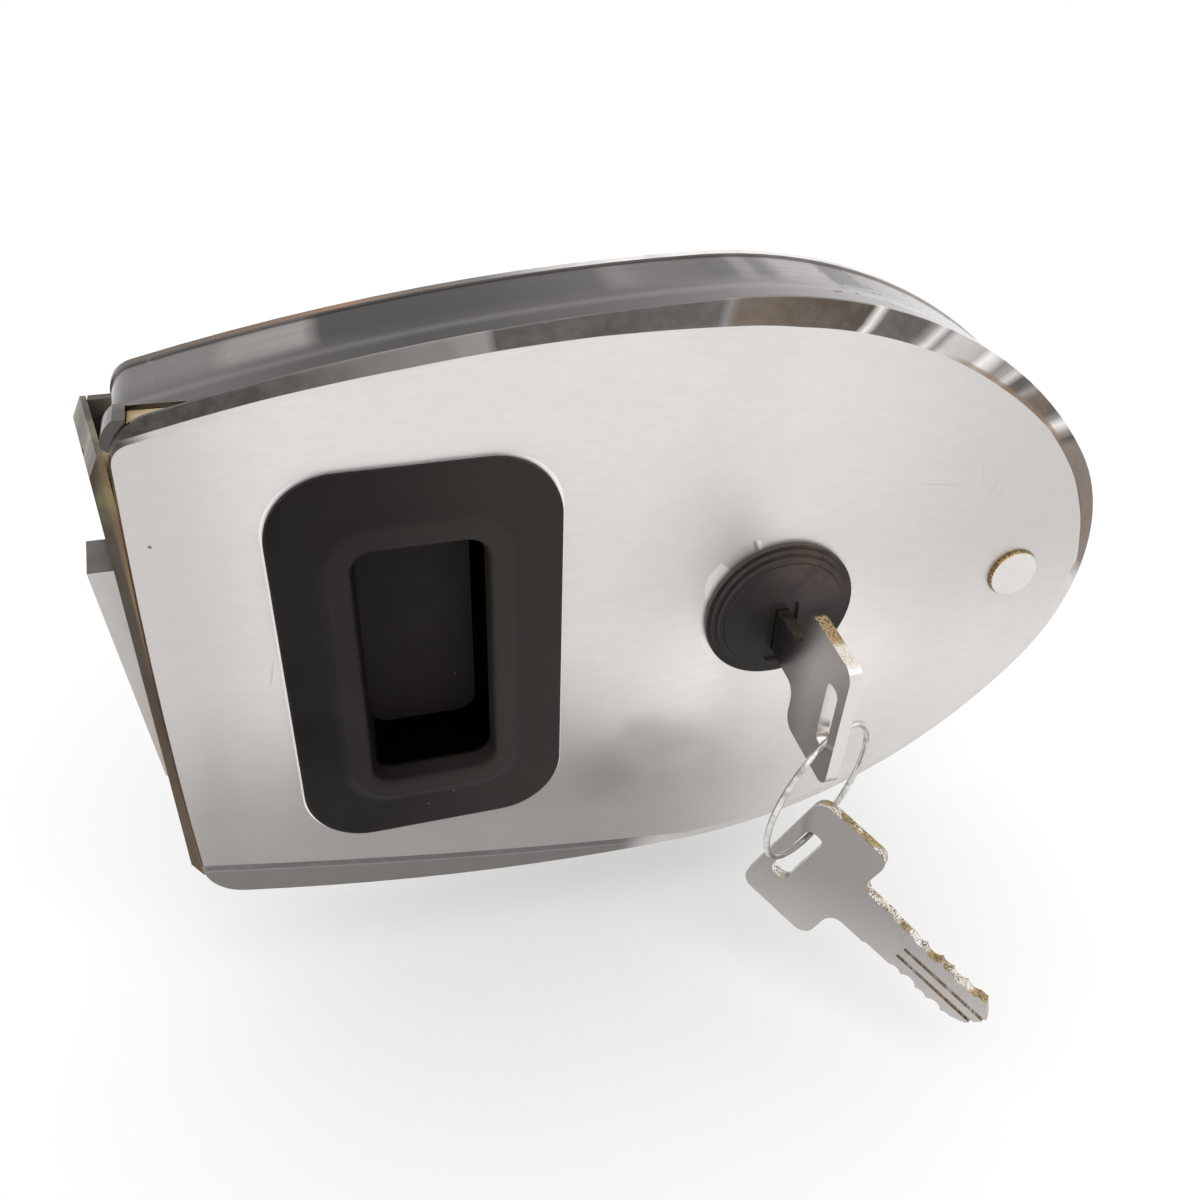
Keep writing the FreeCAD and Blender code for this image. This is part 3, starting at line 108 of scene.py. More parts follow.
class Look:
    """One procedural material, built a node at a time. Places are metres of the object."""

    def __init__(self, name):
        self.material = bpy.data.materials.new(name)
        self.material.use_nodes = True
        self.tree = self.material.node_tree
        self.tree.nodes.clear()
        self.output = self.tree.nodes.new("ShaderNodeOutputMaterial")
        self.shader = self.tree.nodes.new("ShaderNodeBsdfPrincipled")
        self.tree.links.new(self.shader.outputs[0], self.output.inputs["Surface"])
        self.place = self.tree.nodes.new("ShaderNodeTexCoord").outputs["Object"]
        parts = self.new("ShaderNodeSeparateXYZ")
        self.feed(parts.inputs[0], self.place)
        self.x, self.y, self.z = parts.outputs

    def new(self, kind, **settings):
        node = self.tree.nodes.new(kind)
        for key, value in settings.items():
            setattr(node, key, value)
        return node

    def feed(self, socket, value):
        """Links an output to the socket, or sets the socket to a plain value."""
        if isinstance(value, bpy.types.NodeSocket):
            self.tree.links.new(value, socket)
        else:
            socket.default_value = value

    def math(self, operation, first, second=0.0, third=0.0):
        node = self.new("ShaderNodeMath", operation=operation)
        for socket, value in zip(node.inputs, (first, second, third)):
            self.feed(socket, value)
        return node.outputs[0]

    def fade(self, value, start, end, low=0.0, high=1.0):
        """Goes smoothly from low to high while value goes from start to end."""
        node = self.new("ShaderNodeMapRange", interpolation_type="SMOOTHSTEP")
        for name, given in (("Value", value), ("From Min", start), ("From Max", end),
                            ("To Min", low), ("To Max", high)):
            self.feed(node.inputs[name], given)
        return node.outputs[0]

    def within(self, value, start, end, soft):
        """1 where value lies between start and end, with soft edges."""
        rise = self.fade(value, start - soft, start + soft)
        fall = self.fade(value, end + soft, end - soft)
        return self.math("MULTIPLY", rise, fall)

    def blend(self, amount, first, second):
        """A number that goes from first to second with amount."""
        step = self.math("SUBTRACT", second, first)
        return self.math("ADD", first, self.math("MULTIPLY", step, amount))

    def mix(self, amount, first, second):
        """A colour that goes from first to second with amount."""
        node = self.new("ShaderNodeMix", data_type="RGBA")
        self.feed(node.inputs[0], amount)
        self.feed(node.inputs[6], first)
        self.feed(node.inputs[7], second)
        return node.outputs[2]

    def noise(self, scale, detail=3.0, rough=0.5, stretch=(1, 1, 1)):
        """Noise over the object, drawn out along the axes that stretch makes small."""
        spread = self.new("ShaderNodeMapping")
        spread.inputs["Scale"].default_value = stretch
        self.feed(spread.inputs[0], self.place)
        node = self.new("ShaderNodeTexNoise")
        self.feed(node.inputs["Vector"], spread.outputs[0])
        node.inputs["Scale"].default_value = scale
        node.inputs["Detail"].default_value = detail
        node.inputs["Roughness"].default_value = rough
        return node.outputs["Fac"]

    def ramp(self, value, stops):
        """A colour ramp over stops of (place, colour)."""
        node = self.new("ShaderNodeValToRGB")
        elements = node.color_ramp.elements
        while len(elements) < len(stops):
            elements.new(0.5)
        for element, (place, colour) in zip(elements, sorted(stops, key=lambda stop: stop[0])):
            element.position = place
            element.color = colour
        self.feed(node.inputs[0], value)
        return node.outputs[0]

    def bump(self, height, strength, distance):
        node = self.new("ShaderNodeBump")
        node.inputs["Strength"].default_value = strength
        node.inputs["Distance"].default_value = distance
        self.feed(node.inputs["Height"], height)
        self.feed(self.shader.inputs["Normal"], node.outputs[0])

    def finish(self, colour, metallic, roughness, **others):
        """Sets the shader's sockets and gives the material."""
        self.feed(self.shader.inputs["Base Color"], colour)
        self.feed(self.shader.inputs["Metallic"], metallic)
        self.feed(self.shader.inputs["Roughness"], roughness)
        for name, value in others.items():
            self.feed(self.shader.inputs[name.replace("_", " ").title()], value)
        return self.material

    def normal_along(self, direction):
        """How far the surface's normal points along a direction of the object, -1 to 1."""
        dot = self.new("ShaderNodeVectorMath", operation="DOT_PRODUCT")
        self.feed(dot.inputs[0], self.new("ShaderNodeTexCoord").outputs["Normal"])
        self.feed(dot.inputs[1], direction)
        return dot.outputs["Value"]

    def facing(self, direction):
        """How squarely the surface faces along a direction: 0 across it, 1 straight along it."""
        return self.math("ABSOLUTE", self.normal_along(direction))

    def distance(self, across, up):
        """Length of the line that goes across and up by these."""
        squares = self.math("ADD", self.math("MULTIPLY", across, across), self.math("MULTIPLY", up, up))
        return self.math("SQRT", squares)

    def turn(self):
        """Angle round the hub in degrees: 0 towards the nose, 90 at the top, negative below."""
        across = self.math("SUBTRACT", self.x, HUB_X)
        return self.math("MULTIPLY", self.math("ARCTAN2", self.z, across), DEGREES)

    def spot(self, x, z, wide, high, tilt=0.0, soft=0.35):
        """1 inside an ellipse in the plane of the face, centred at x, z in millimetres, 0 outside."""
        across = self.math("SUBTRACT", self.x, x * MM)
        up = self.math("SUBTRACT", self.z, z * MM)
        cos, sin = math.cos(math.radians(tilt)), math.sin(math.radians(tilt))
        along = self.math("ADD", self.math("MULTIPLY", across, cos / (wide * MM)),
                          self.math("MULTIPLY", up, sin / (wide * MM)))
        aside = self.math("ADD", self.math("MULTIPLY", across, -sin / (high * MM)),
                          self.math("MULTIPLY", up, cos / (high * MM)))
        return self.fade(self.distance(along, aside), 1 + soft, 1 - soft)


# ---------------------------------------------------------------- materials
def tone(level):
    """The faintly warm grey of the photograph's metals at a screen level."""
    return srgb(level, max(level - 4, 0), max(level - 7, 0))


# Colours that several bands of painted reflection share.
BROWN_DEEP = srgb(82, 70, 60)
BROWN = srgb(106, 94, 84)
GOLD = srgb(150, 122, 94)


def band(look, angle, stops):
    """Colours along the rim. Stops are (degrees from the nose, level or colour), in rising order."""
    place = look.math("DIVIDE", look.math("ADD", angle, 180.0), 360.0)
    colours = [(degrees, tone(value) if isinstance(value, (int, float)) else value)
               for degrees, value in stops]
    result = None
    for first in range(0, len(colours), RAMP_STOPS):
        part = colours[first:first + RAMP_STOPS + 1]
        ramp = look.ramp(place, [((degrees + 180) / 360, colour) for degrees, colour in part])
        if result is None:
            result = ramp
        else:
            result = look.mix(look.math("GREATER_THAN", angle, float(part[0][0])), result, ramp)
    return result


def warped(look, scale, reach):
    """The place on the face, shifted a little by noise so that soft marks get uneven edges."""
    shift = look.math("SUBTRACT", look.noise(scale, 3.0, 0.55), 0.5)
    shift = look.math("MULTIPLY", shift, 2 * reach * MM)
    return look.math("ADD", look.x, shift), look.math("SUBTRACT", look.z, shift)


def rim_inset(look):
    """How far a point of the face lies inside the rim of the case."""
    height = look.math("ABSOLUTE", look.z)

    def inside(x, z, radius):
        far = look.distance(look.math("SUBTRACT", look.x, x), look.math("SUBTRACT", height, z))
        return look.math("SUBTRACT", radius, far)

    shoulder_z = HALF_HEIGHT - SHOULDER_RADIUS
    flank = inside(APEX_X, HALF_HEIGHT - FLANK_RADIUS, FLANK_RADIUS)
    shoulder = inside(APEX_X, shoulder_z, SHOULDER_RADIUS)
    nose = inside(NOSE_CENTRE_X, 0.0, NOSE_RADIUS)
    slope = -shoulder_z / (NOSE_CENTRE_X - APEX_X)
    line = look.math("MULTIPLY", look.math("SUBTRACT", look.x, APEX_X), slope)
    below_join = look.math("LESS_THAN", look.math("SUBTRACT", height, shoulder_z), line)
    right = look.blend(below_join, shoulder, nose)
    return look.blend(look.math("GREATER_THAN", look.x, APEX_X), flank, right)


# The polished border: the last angle of its widths, the widest that their ramp can hold, and the widths
# themselves in millimetres, by degrees from the nose.
BORDER_END = 160.0
BORDER_MOST = 5
BORDER_WIDTHS = (
    (0.0, 2.0), (4, 2.95), (11, 3.4), (16, 3.2), (25, 2.9), (37, 3.6), (48, 3.85), (58, 4.0), (75, 4.2),
    (92, 3.5), (108, 2.85), (121, 2.6), (131, 2.5), (143, 2.1), (151, 2.0))


def bevel_width(look):
    """Width of the polished border along the upper rim and the nose."""
    place = look.math("DIVIDE", look.turn(), BORDER_END)
    shares = [(degrees / BORDER_END, (width / BORDER_MOST,) * 3 + (1.0,)) for degrees, width in BORDER_WIDTHS]
    return look.math("MULTIPLY", look.ramp(place, shares), BORDER_MOST * MM)


# Marks on the face: x, z, half width and half height in millimetres, tilt in degrees, and strength.
# Soft darker patches on the face.
SOFT_DARK_PATCHES = (
    (43.0, -26.6, 5.6, 4.4, -10, 0.22),
    (37.0, -24.0, 4.0, 2.6, 20, 0.10),
    (30.2, -33.0, 5.2, 6.4, 15, 0.20),
    (37.0, -31.0, 15.0, 7.5, 8, 0.11),
    (-36.0, -24.0, 3.0, 16.0, -4, 0.08))
SCRATCHES = (
    (89.5, 21.4, 4.4, 0.10, -8, 0.16),
    (97.6, 22.0, 0.12, 2.0, 14, 0.12),
    (100.4, 19.0, 0.12, 2.4, -18, 0.12),
    (102.4, 17.6, 0.12, 1.6, 10, 0.10),
    (-37.6, 28.1, 0.28, 0.28, 0, 0.75),
    (-24.3, 2.0, 0.14, 2.2, -12, 0.25))


def marked(look, face, marks, soft, colour):
    """The face with marks of a colour laid over it."""
    for x, z, wide, high, tilt, strength in marks:
        mark = look.math("MULTIPLY", look.spot(x, z, wide, high, tilt, soft), strength)
        face = look.mix(mark, face, colour)
    return face


def satin_cover():
    """Satin face with a faint grain and soft marks, painted shade towards the lower left, the left and the
    right, and a painted highlight below the cap; a polished bevel round it.
    """
    look = Look("satin_cover")
    past = look.math("SUBTRACT", rim_inset(look), bevel_width(look))
    upper = look.within(look.turn(), -0.6, 151.0, 1.2)
    sloped = look.fade(look.y, FACE_Y + 0.10 * MM, FACE_Y + 0.04 * MM)
    flat = look.blend(upper, sloped, look.fade(past, -0.04 * MM, 0.10 * MM))
    plain_x, plain_z = look.x, look.z

    cloud = look.noise(34.0, 4.0, 0.55)
    grain = look.noise(1100.0, 2.0, 0.6, (0.3, 1, 1))
    # Painted shade: darker towards the lower left.
    low = look.math("MULTIPLY", look.fade(look.z, 3 * MM, -36 * MM), look.fade(look.x, 78 * MM, 34 * MM))
    face = look.mix(low, tone(219), tone(158))
    # Painted shade: darker towards the left edge.
    face = look.mix(look.fade(look.x, -18 * MM, -36 * MM, 0.0, 0.42), face, tone(166))
    # Painted shade: a little darker towards the right.
    right = look.math("MULTIPLY", look.fade(look.x, 60 * MM, 112 * MM), look.fade(look.z, -20 * MM, 12 * MM))
    face = look.mix(right, face, tone(198))
    # Painted highlight: a pale patch on the face below the cap.
    bright = look.math("MULTIPLY", look.spot(59.0, -14.0, 22.0, 16.0, 0, 0.8), 0.8)
    face = look.mix(bright, face, tone(252))
    face = look.mix(look.fade(cloud, 0.40, 0.66, 0.0, 0.14), face, tone(200))

    look.x, look.z = warped(look, 90.0, 3.5)
    face = marked(look, face, SOFT_DARK_PATCHES, 0.9, tone(78))
    look.x, look.z = plain_x, plain_z
    face = look.mix(look.fade(grain, 0.35, 0.65, 0.0, 0.05), face, tone(150))
    face = marked(look, face, SCRATCHES, 0.4, tone(70))
    face = stud_seat(look, face)
    face = film(look, face)
    face = cup_surround(look, face)
    bevel = cover_bevel(look, past)

    look.bump(grain, 0.06, 0.2 * MM)
    rough = look.math("ADD", look.math("MULTIPLY", flat, 0.24), look.fade(cloud, 0.3, 0.7, 0.12, 0.18))
    return look.finish(look.mix(flat, bevel, face), PLATED, rough)


def stud_seat(look, face):
    """The thin dark joint round the stud at the nose."""
    low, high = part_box("tip_stud")
    far = look.distance(look.math("SUBTRACT", look.x, (low[0] + high[0]) / 2), look.z)
    radius = (high[0] - low[0]) / 2
    joint = look.fade(far, radius + 0.30 * MM, radius + 0.10 * MM, 0.0, 0.6)
    return look.mix(joint, face, srgb(96, 84, 66))


def film(look, face):
    """Bits of torn protective film left beside the cylinder's cap, and a painted shadow on the face next to
    them.
    """
    across = look.math("SUBTRACT", look.x, CAP_X)
    far = look.distance(across, look.z)
    angle = look.math("ARCTAN2", look.z, look.math("MULTIPLY", across, -1.0))
    angle = look.math("MULTIPLY", angle, DEGREES)
    edge = look.math("MULTIPLY", look.fade(angle, 10.0, 34.0), 2.2 * MM)
    wedge = look.math("LESS_THAN", far, look.math("ADD", edge, CAP_RADIUS + 0.4 * MM))
    wedge = look.math("MULTIPLY", wedge, look.within(angle, 16.0, 44.0, 1.0))
    low = look.math("LESS_THAN", far, CAP_RADIUS + 1.0 * MM)
    low = look.math("MULTIPLY", low, look.within(angle, -38.0, -14.0, 6.0))
    # Painted shadow: a soft darker patch on the face beside the cap, by the film.
    shade = look.math("MULTIPLY", look.fade(far, CAP_RADIUS + 3.4 * MM, CAP_RADIUS + 0.4 * MM, 0.0, 0.30),
                      look.within(angle, 36.0, 66.0, 7.0))
    face = look.mix(shade, face, tone(96))
    pale = look.math("MULTIPLY", look.math("MAXIMUM", wedge, low), 0.85)
    face = look.mix(pale, face, srgb(246, 243, 239))
    lifted = look.math("MULTIPLY", look.spot(56.2, 13.9, 0.35, 1.1, 20, 0.25), 0.8)
    face = look.mix(lifted, face, tone(150))
    return look.mix(look.spot(57.0, 13.9, 0.40, 1.2, 20, 0.25), face, tone(246))


def cup_surround(look, face):
    """A thin pale line on the face round the finger pull's flange."""
    reach = []
    for value, low, high in ((look.x, CUP_LOW[0], CUP_HIGH[0]), (look.z, CUP_LOW[2], CUP_HIGH[2])):
        past = look.math("SUBTRACT", look.math("ABSOLUTE", value), (high - low) / 2 - CUP_CORNER)
        reach.append(look.math("MAXIMUM", past, 0.0))
    far = look.math("SUBTRACT", look.distance(*reach), CUP_CORNER)
    return look.mix(look.within(far, -0.3 * MM, 0.30 * MM, 0.12 * MM), face, tone(250))


# Bands of painted reflection along a rim: degrees from the nose, and a level or a colour.
BEVEL_REFLECTION_BANDS = (
    (-180, srgb(120, 100, 84)), (-166, srgb(160, 126, 90)), (-158, GOLD), (-155, 96), (-100, 104), (-92, 206),
    (-30, 210), (-4, 206), (-1.6, 204), (-1.2, srgb(118, 105, 96)), (6, srgb(112, 100, 91)),
    (14, srgb(116, 105, 96)), (21.2, srgb(124, 116, 108)), (21.4, 72), (22.5, 78),
    (22.8, srgb(150, 140, 130)), (25.1, srgb(156, 148, 138)), (25.3, 242), (26.5, 240), (26.8, 78),
    (28.0, 92), (29.0, BROWN),
    (33.6, srgb(118, 108, 98)), (33.9, 184), (34.2, 94), (37.1, 92), (37.5, 214), (38.5, 206), (38.9, 172),
    (42.0, 112), (42.3, 246), (44.5, 244), (44.9, 176), (45.2, 192), (50.8, 206), (51.2, 152), (52.8, 122),
    (53.2, 228), (54.4, 224), (54.7, 150), (55.8, 138), (56.1, 98), (60.0, 94), (64.2, 106), (64.5, 240),
    (65.5, 232), (65.9, srgb(86, 78, 70)), (74, srgb(92, 82, 73)), (82.0, srgb(108, 95, 84)),
    (87.3, srgb(112, 100, 90)), (87.6, 150), (88.5, 146), (88.9, 100), (100.0, 92), (107.8, 84), (112.0, 92),
    (121.2, 86), (121.6, 146), (126.0, 140), (126.4, 128), (129.0, 130), (134.0, 118), (138.0, 100),
    (141.0, 84), (144.0, 74), (151.4, 62), (152.6, 74), (154.0, GOLD), (160.0, GOLD),
    (172.0, srgb(120, 104, 90)), (180, srgb(120, 100, 84)))


def cover_bevel(look, past):
    """The polished bevel: grey and brown bands of painted reflection with flashes of light, and two ledges at
    the lower left, with painted shade along the back edge of the lower rim.
    """
    depth = look.math("DIVIDE", look.math("SUBTRACT", look.y, FACE_Y), COVER_BACK - FACE_Y)
    wave = look.math("SUBTRACT", look.noise(160.0, 2.0), 0.5)
    skew = look.math("MULTIPLY", past, -0.35 / MM)
    angle = look.math("ADD", look.turn(), look.math("ADD", wave, skew))
    bevel = band(look, angle, BEVEL_REFLECTION_BANDS)
    streak = look.noise(420.0, 3.0, 0.6, (1, 3, 1))
    bevel = look.mix(look.fade(streak, 0.35, 0.7, 0.0, 0.14), bevel, tone(150))
    inner = look.math("MULTIPLY", look.fade(past, -0.9 * MM, -0.5 * MM),
                      look.within(look.turn(), 22.0, 47.0, 3.0))
    bevel = look.mix(look.math("MULTIPLY", inner, 0.75), bevel, srgb(140, 118, 98))
    lower_left = look.within(look.turn(), -157.0, -98.0, 2.0)
    ledge = look.mix(look.fade(depth, 0.42, 0.52), tone(84), tone(122))
    ledge = look.mix(look.fade(streak, 0.4, 0.7, 0.0, 0.25), ledge, tone(136))
    # Painted shade: dark along the back edge of the ledges.
    ledge = look.mix(look.fade(depth, 0.90, 0.97), ledge, tone(48))
    bevel = look.mix(lower_left, bevel, ledge)
    # Painted shade: darker along the back edge of the lower rim.
    rim = look.math("MULTIPLY", look.fade(depth, 0.80, 0.96), look.within(look.turn(), -100.0, -6.0, 6.0))
    return look.mix(look.math("MULTIPLY", rim, 0.8), bevel, tone(96))


# Painted reflections on the wall, by degrees from the nose and a level: towards the back, then in front.
WALL_REAR_REFLECTIONS = (
    (-156, 112), (-110, 122), (-90, 120), (-20, 130), (28, 165), (41, 200), (52, 176), (58, 146), (61.6, 136),
    (61.9, 88), (66.7, 82), (67.0, 166), (75.8, 162), (76.1, 104), (78.8, 98), (79.1, 134), (82.1, 130),
    (82.4, 84), (86.8, 74), (87.2, 86), (98.0, 98), (99.0, 112), (102.0, 108), (104.0, 74), (119.0, 44),
    (128.0, 30), (136.8, 26), (137.1, 146), (143.6, 136), (144.2, 112), (156, 96))
WALL_FRONT_REFLECTIONS = (
    (-156, 112), (-110, 122), (-20, 130), (28, 182), (41, 196), (52, 190), (60, 170), (76, 138), (87, 112),
    (99, 90), (108, 80), (119, 66), (128, 54), (137, 64), (145, 88), (156, 84))


def polished_wall():
    """Polished side of the case: painted reflections in grey patches towards the back, a softer run of them
    in front, a painted highlight along the middle, painted shade at the back edge, and dust.
    """
    look = Look("polished_wall")
    wave = look.math("MULTIPLY", look.math("SUBTRACT", look.noise(90.0, 2.0), 0.5), 1.6)
    angle = look.math("ADD", look.turn(), wave)
    rear = band(look, angle, WALL_REAR_REFLECTIONS)
    front = band(look, angle, WALL_FRONT_REFLECTIONS)
    wall = look.mix(look.fade(look.y, -13.5 * MM, -8.5 * MM), front, rear)
    # Painted highlight: a pale line along the middle of the wall.
    shine = look.within(look.y, -15 * MM, -13.5 * MM, 1 * MM)
    shine = look.math("MULTIPLY", shine, look.fade(look.turn(), 70.0, 48.0, 0.10, 0.70))
    wall = look.mix(shine, wall, tone(226))
    streak = look.noise(150.0, 3.0, 0.6, (0.5, 5, 0.5))
    wall = look.mix(look.fade(streak, 0.40, 0.75, 0.0, 0.16), wall, tone(60))
    # Painted shade: darker along the back edge of the wall.
    wall = look.mix(look.fade(look.y, -3 * MM, -1.6 * MM, 0.0, 0.55), wall, tone(58))
    dust = look.math("LESS_THAN", specks(look, 640.0), 0.26)
    dust = look.math("MULTIPLY", dust, look.math("GREATER_THAN", look.noise(260.0, 1.0), 0.50))
    dust = look.math("MULTIPLY", dust, look.within(look.x, 66 * MM, 88 * MM, 0.5 * MM))
    dust = look.math("MULTIPLY", dust, look.within(look.y, -16 * MM, -5 * MM, 0.5 * MM))
    wall = look.mix(dust, wall, tone(20))
    scratch = look.fade(look.noise(900.0, 2.0, 0.5, (1.6, 0.25, 1)), 0.66, 0.72)
    scratch = look.math("MULTIPLY", scratch, look.within(look.x, -37 * MM, -32.5 * MM, 0.6 * MM))
    wall = look.mix(look.math("MULTIPLY", scratch, 0.4), wall, tone(185))
    return look.finish(wall, 0.9, look.fade(streak, 0.3, 0.7, 0.14, 0.22))


def specks(look, scale):
    """Distance from scattered points, in the pattern's own cells."""
    node = look.new("ShaderNodeTexVoronoi")
    look.feed(node.inputs["Vector"], look.place)
    node.inputs["Scale"].default_value = scale
    return node.outputs["Distance"]


def plain_metal(name, light, dark, metallic, roughness, scale):
    """A metal whose tone and polish wander a little between two colours."""
    look = Look(name)
    wander = look.noise(scale, 4.0, 0.6)
    colour = look.mix(look.fade(wander, 0.3, 0.7), dark, light)
    look.bump(wander, 0.05, 0.1 * MM)
    return look.finish(colour, metallic, look.fade(wander, 0.3, 0.7, roughness + 0.06, roughness - 0.04))


# Painted reflections along the back plate's edge, by degrees from the nose.
REAR_REFLECTION_BANDS = (
    (-156, 96), (-20, 150), (40, 236), (90, 244), (104, 236), (118, 120), (126, BROWN),
    (134, srgb(150, 112, 78)), (142, srgb(112, 84, 60)), (150, BROWN_DEEP), (156, 70))


def rear_edge():
    """Edge of the back plate, in painted reflections: a dark brown line at the left that turns to a painted
    highlight towards the nose.
    """
    look = Look("rear_edge")
    angle = look.turn()
    edge = band(look, angle, REAR_REFLECTION_BANDS)
    wander = look.noise(200.0, 3.0, 0.6)
    edge = look.mix(look.fade(wander, 0.35, 0.7, 0.0, 0.25), edge, tone(90))
    back = look.mix(look.fade(wander, 0.3, 0.7), tone(175), tone(185))
    flat = look.fade(look.facing((0, 1, 0)), 0.90, 0.98)
    return look.finish(look.mix(flat, edge, back), PLATED, 0.26)


def strip_metal():
    """Forend strip: dull grey-brown steel, browner low down, with a greenish painted reflection near its top
    and a tan painted highlight along its edge by the face.
    """
    look = Look("strip_metal")
    wander = look.noise(150.0, 3.0, 0.55, (1, 1, 0.4))
    colour = look.mix(look.fade(wander, 0.3, 0.7), srgb(70, 62, 54), srgb(84, 77, 70))
    # Painted reflection: a greenish patch near the top.
    colour = look.mix(look.math("MULTIPLY", look.fade(look.z, 30 * MM, 36 * MM), look.fade(wander, 0.4, 0.6)),
                      colour, srgb(120, 114, 84))
    low = look.fade(look.z, 10 * MM, -30 * MM, 0.0, 0.35)
    colour = look.mix(low, colour, srgb(122, 104, 84))
    # Painted highlight: a tan line along the strip's edge by the face, fainter higher up.
    edge_highlight = look.math("MULTIPLY", look.fade(look.x, -42.1 * MM, -41.5 * MM, 0.0, 0.8),
                     look.fade(look.z, 34 * MM, 12 * MM, 0.30, 1.0))
    colour = look.mix(edge_highlight, colour, srgb(160, 126, 88))
    return look.finish(colour, 0.8, look.fade(wander, 0.3, 0.7, 0.36, 0.28))


def bolt_steel():
    """Hook bolt: pale satin sides and a top painted darker as shade, with a brown cast low down."""
    look = Look("bolt_steel")
    wander = look.noise(300.0, 3.0, 0.6)
    side = look.mix(look.fade(look.z, 4 * MM, -14 * MM, 0.0, 0.35), tone(188), srgb(186, 172, 158))
    side = look.mix(look.fade(wander, 0.35, 0.7, 0.0, 0.14), side, tone(150))
    top = look.mix(look.fade(wander, 0.35, 0.7), tone(98), tone(110))
    # Painted shade: the upward faces darker than the sides.
    upward = look.fade(look.facing((0, 0, 1)), 0.60, 0.80)
    return look.finish(look.mix(upward, side, top), 0.8, 0.34)


def broad_side(name):
    """The way that the largest flat of a node faces."""
    widest = max(nodes[name].data.polygons, key=lambda polygon: polygon.area)
    return tuple(widest.normal)


def key_metal(name, plate, edge_bright, worn):
    """Satin nickel plate on the flats of a key; cut edges with dark pits where they are worn."""
    look = Look(name + "_metal")
    flat = look.fade(look.facing(broad_side(name)), 0.90, 0.98)
    fine = look.noise(500.0, 2.0, 0.5)
    plated = look.mix(look.fade(fine, 0.3, 0.7, 0.0, 0.10), plate(look), tone(140))
    pits = look.noise(3600.0, 3.0, 0.6)
    pitted = look.math("MULTIPLY", look.fade(pits, 0.51, 0.45), worn(look))
    edge = look.mix(pitted, edge_bright(look), srgb(52, 42, 33))
    return look.finish(look.mix(flat, edge, plated), PLATED, 0.27)


def shaded_inserted_plate(look):
    """Painted shade: darker where the bow nears the cap, paler towards its far edge."""
    return look.mix(look.fade(look.y, -29 * MM, -40 * MM), tone(84), tone(163))


def inserted_edge_and_light(look):
    """Golden along the top, with painted shade on the neck by the cap, a painted white glint further from it
    and a painted highlight on the far edge.
    """
    # Painted shade: darker on the neck by the cap.
    top = look.mix(look.fade(look.y, -31.6 * MM, -33 * MM), srgb(128, 121, 102), srgb(196, 172, 130))
    # Painted glint: white along the top edge further from the cap.
    top = look.mix(look.fade(look.y, -41.5 * MM, -43.5 * MM), top, srgb(250, 244, 236))
    # Painted highlight: pale on the far edge.
    return look.mix(far_edge(look), top, tone(218))


def inserted_wear(look):
    """How much the cut edges of the inserted key are pitted."""
    worn = look.fade(look.y, -43 * MM, -40 * MM, 0.30, 0.85)
    return look.math("MULTIPLY", worn, look.math("SUBTRACT", 1.0, far_edge(look)))


def far_edge(look):
    """1 on what faces out of the lock."""
    return look.fade(look.facing((0, 1, 0)), 0.60, 0.85)


def spare_plate(look):
    """Even satin grey, paler down the blade."""
    return look.mix(look.fade(look.z, -62 * MM, -40 * MM), tone(190), tone(152))


def spare_edge(look):
    """Pale gold, with a white glint here and there."""
    return look.mix(look.fade(look.noise(300.0, 2.0), 0.42, 0.56), srgb(190, 168, 124), srgb(248, 242, 232))


def spare_wear(look):
    """How much the cut edges of the spare key are pitted, in patches."""
    return look.fade(look.noise(200.0, 1.0), 0.30, 0.50, 0.35, 1.0)


def ring_metal():
    """Sprung wire: bright, with its underside painted a darker brown as shade."""
    look = Look("ring_metal")
    # Painted shade: darker brown on the side facing down.
    shaded_underside = look.fade(look.normal_along((0.5, -0.2, -0.84)), 0.20, 0.75)
    wander = look.noise(420.0, 3.0, 0.6)
    bright = look.mix(look.fade(wander, 0.4, 0.7), tone(226), tone(170))
    colour = look.mix(shaded_underside, bright, srgb(112, 92, 70))
    return look.finish(colour, 0.9, 0.22)


def liner_metal():
    """Tan coated strip that shows in the corner notch."""
    look = Look("liner_metal")
    wander = look.noise(260.0, 3.0, 0.6, (0.4, 1, 1))
    colour = look.mix(look.fade(wander, 0.35, 0.65), srgb(206, 192, 160), srgb(178, 152, 110))
    return look.finish(colour, 0.0, look.fade(wander, 0.3, 0.7, 0.50, 0.40))


def matt_grain(look, strength):
    look.bump(look.noise(GRAIN_SCALE, 2.0, 0.5), strength, GRAIN_DEPTH)


def moulded(name, light, dark, roughness):
    """Moulded plastic with a fine matt grain and little shine."""
    look = Look(name)
    wander = look.noise(70.0, 3.0, 0.5)
    colour = look.mix(look.fade(wander, 0.3, 0.7), dark, light)
    matt_grain(look, 0.12)
    look.shader.inputs["Specular IOR Level"].default_value = 0.18
    return look.finish(colour, 0.0, look.fade(wander, 0.3, 0.7, roughness + 0.06, roughness - 0.05))


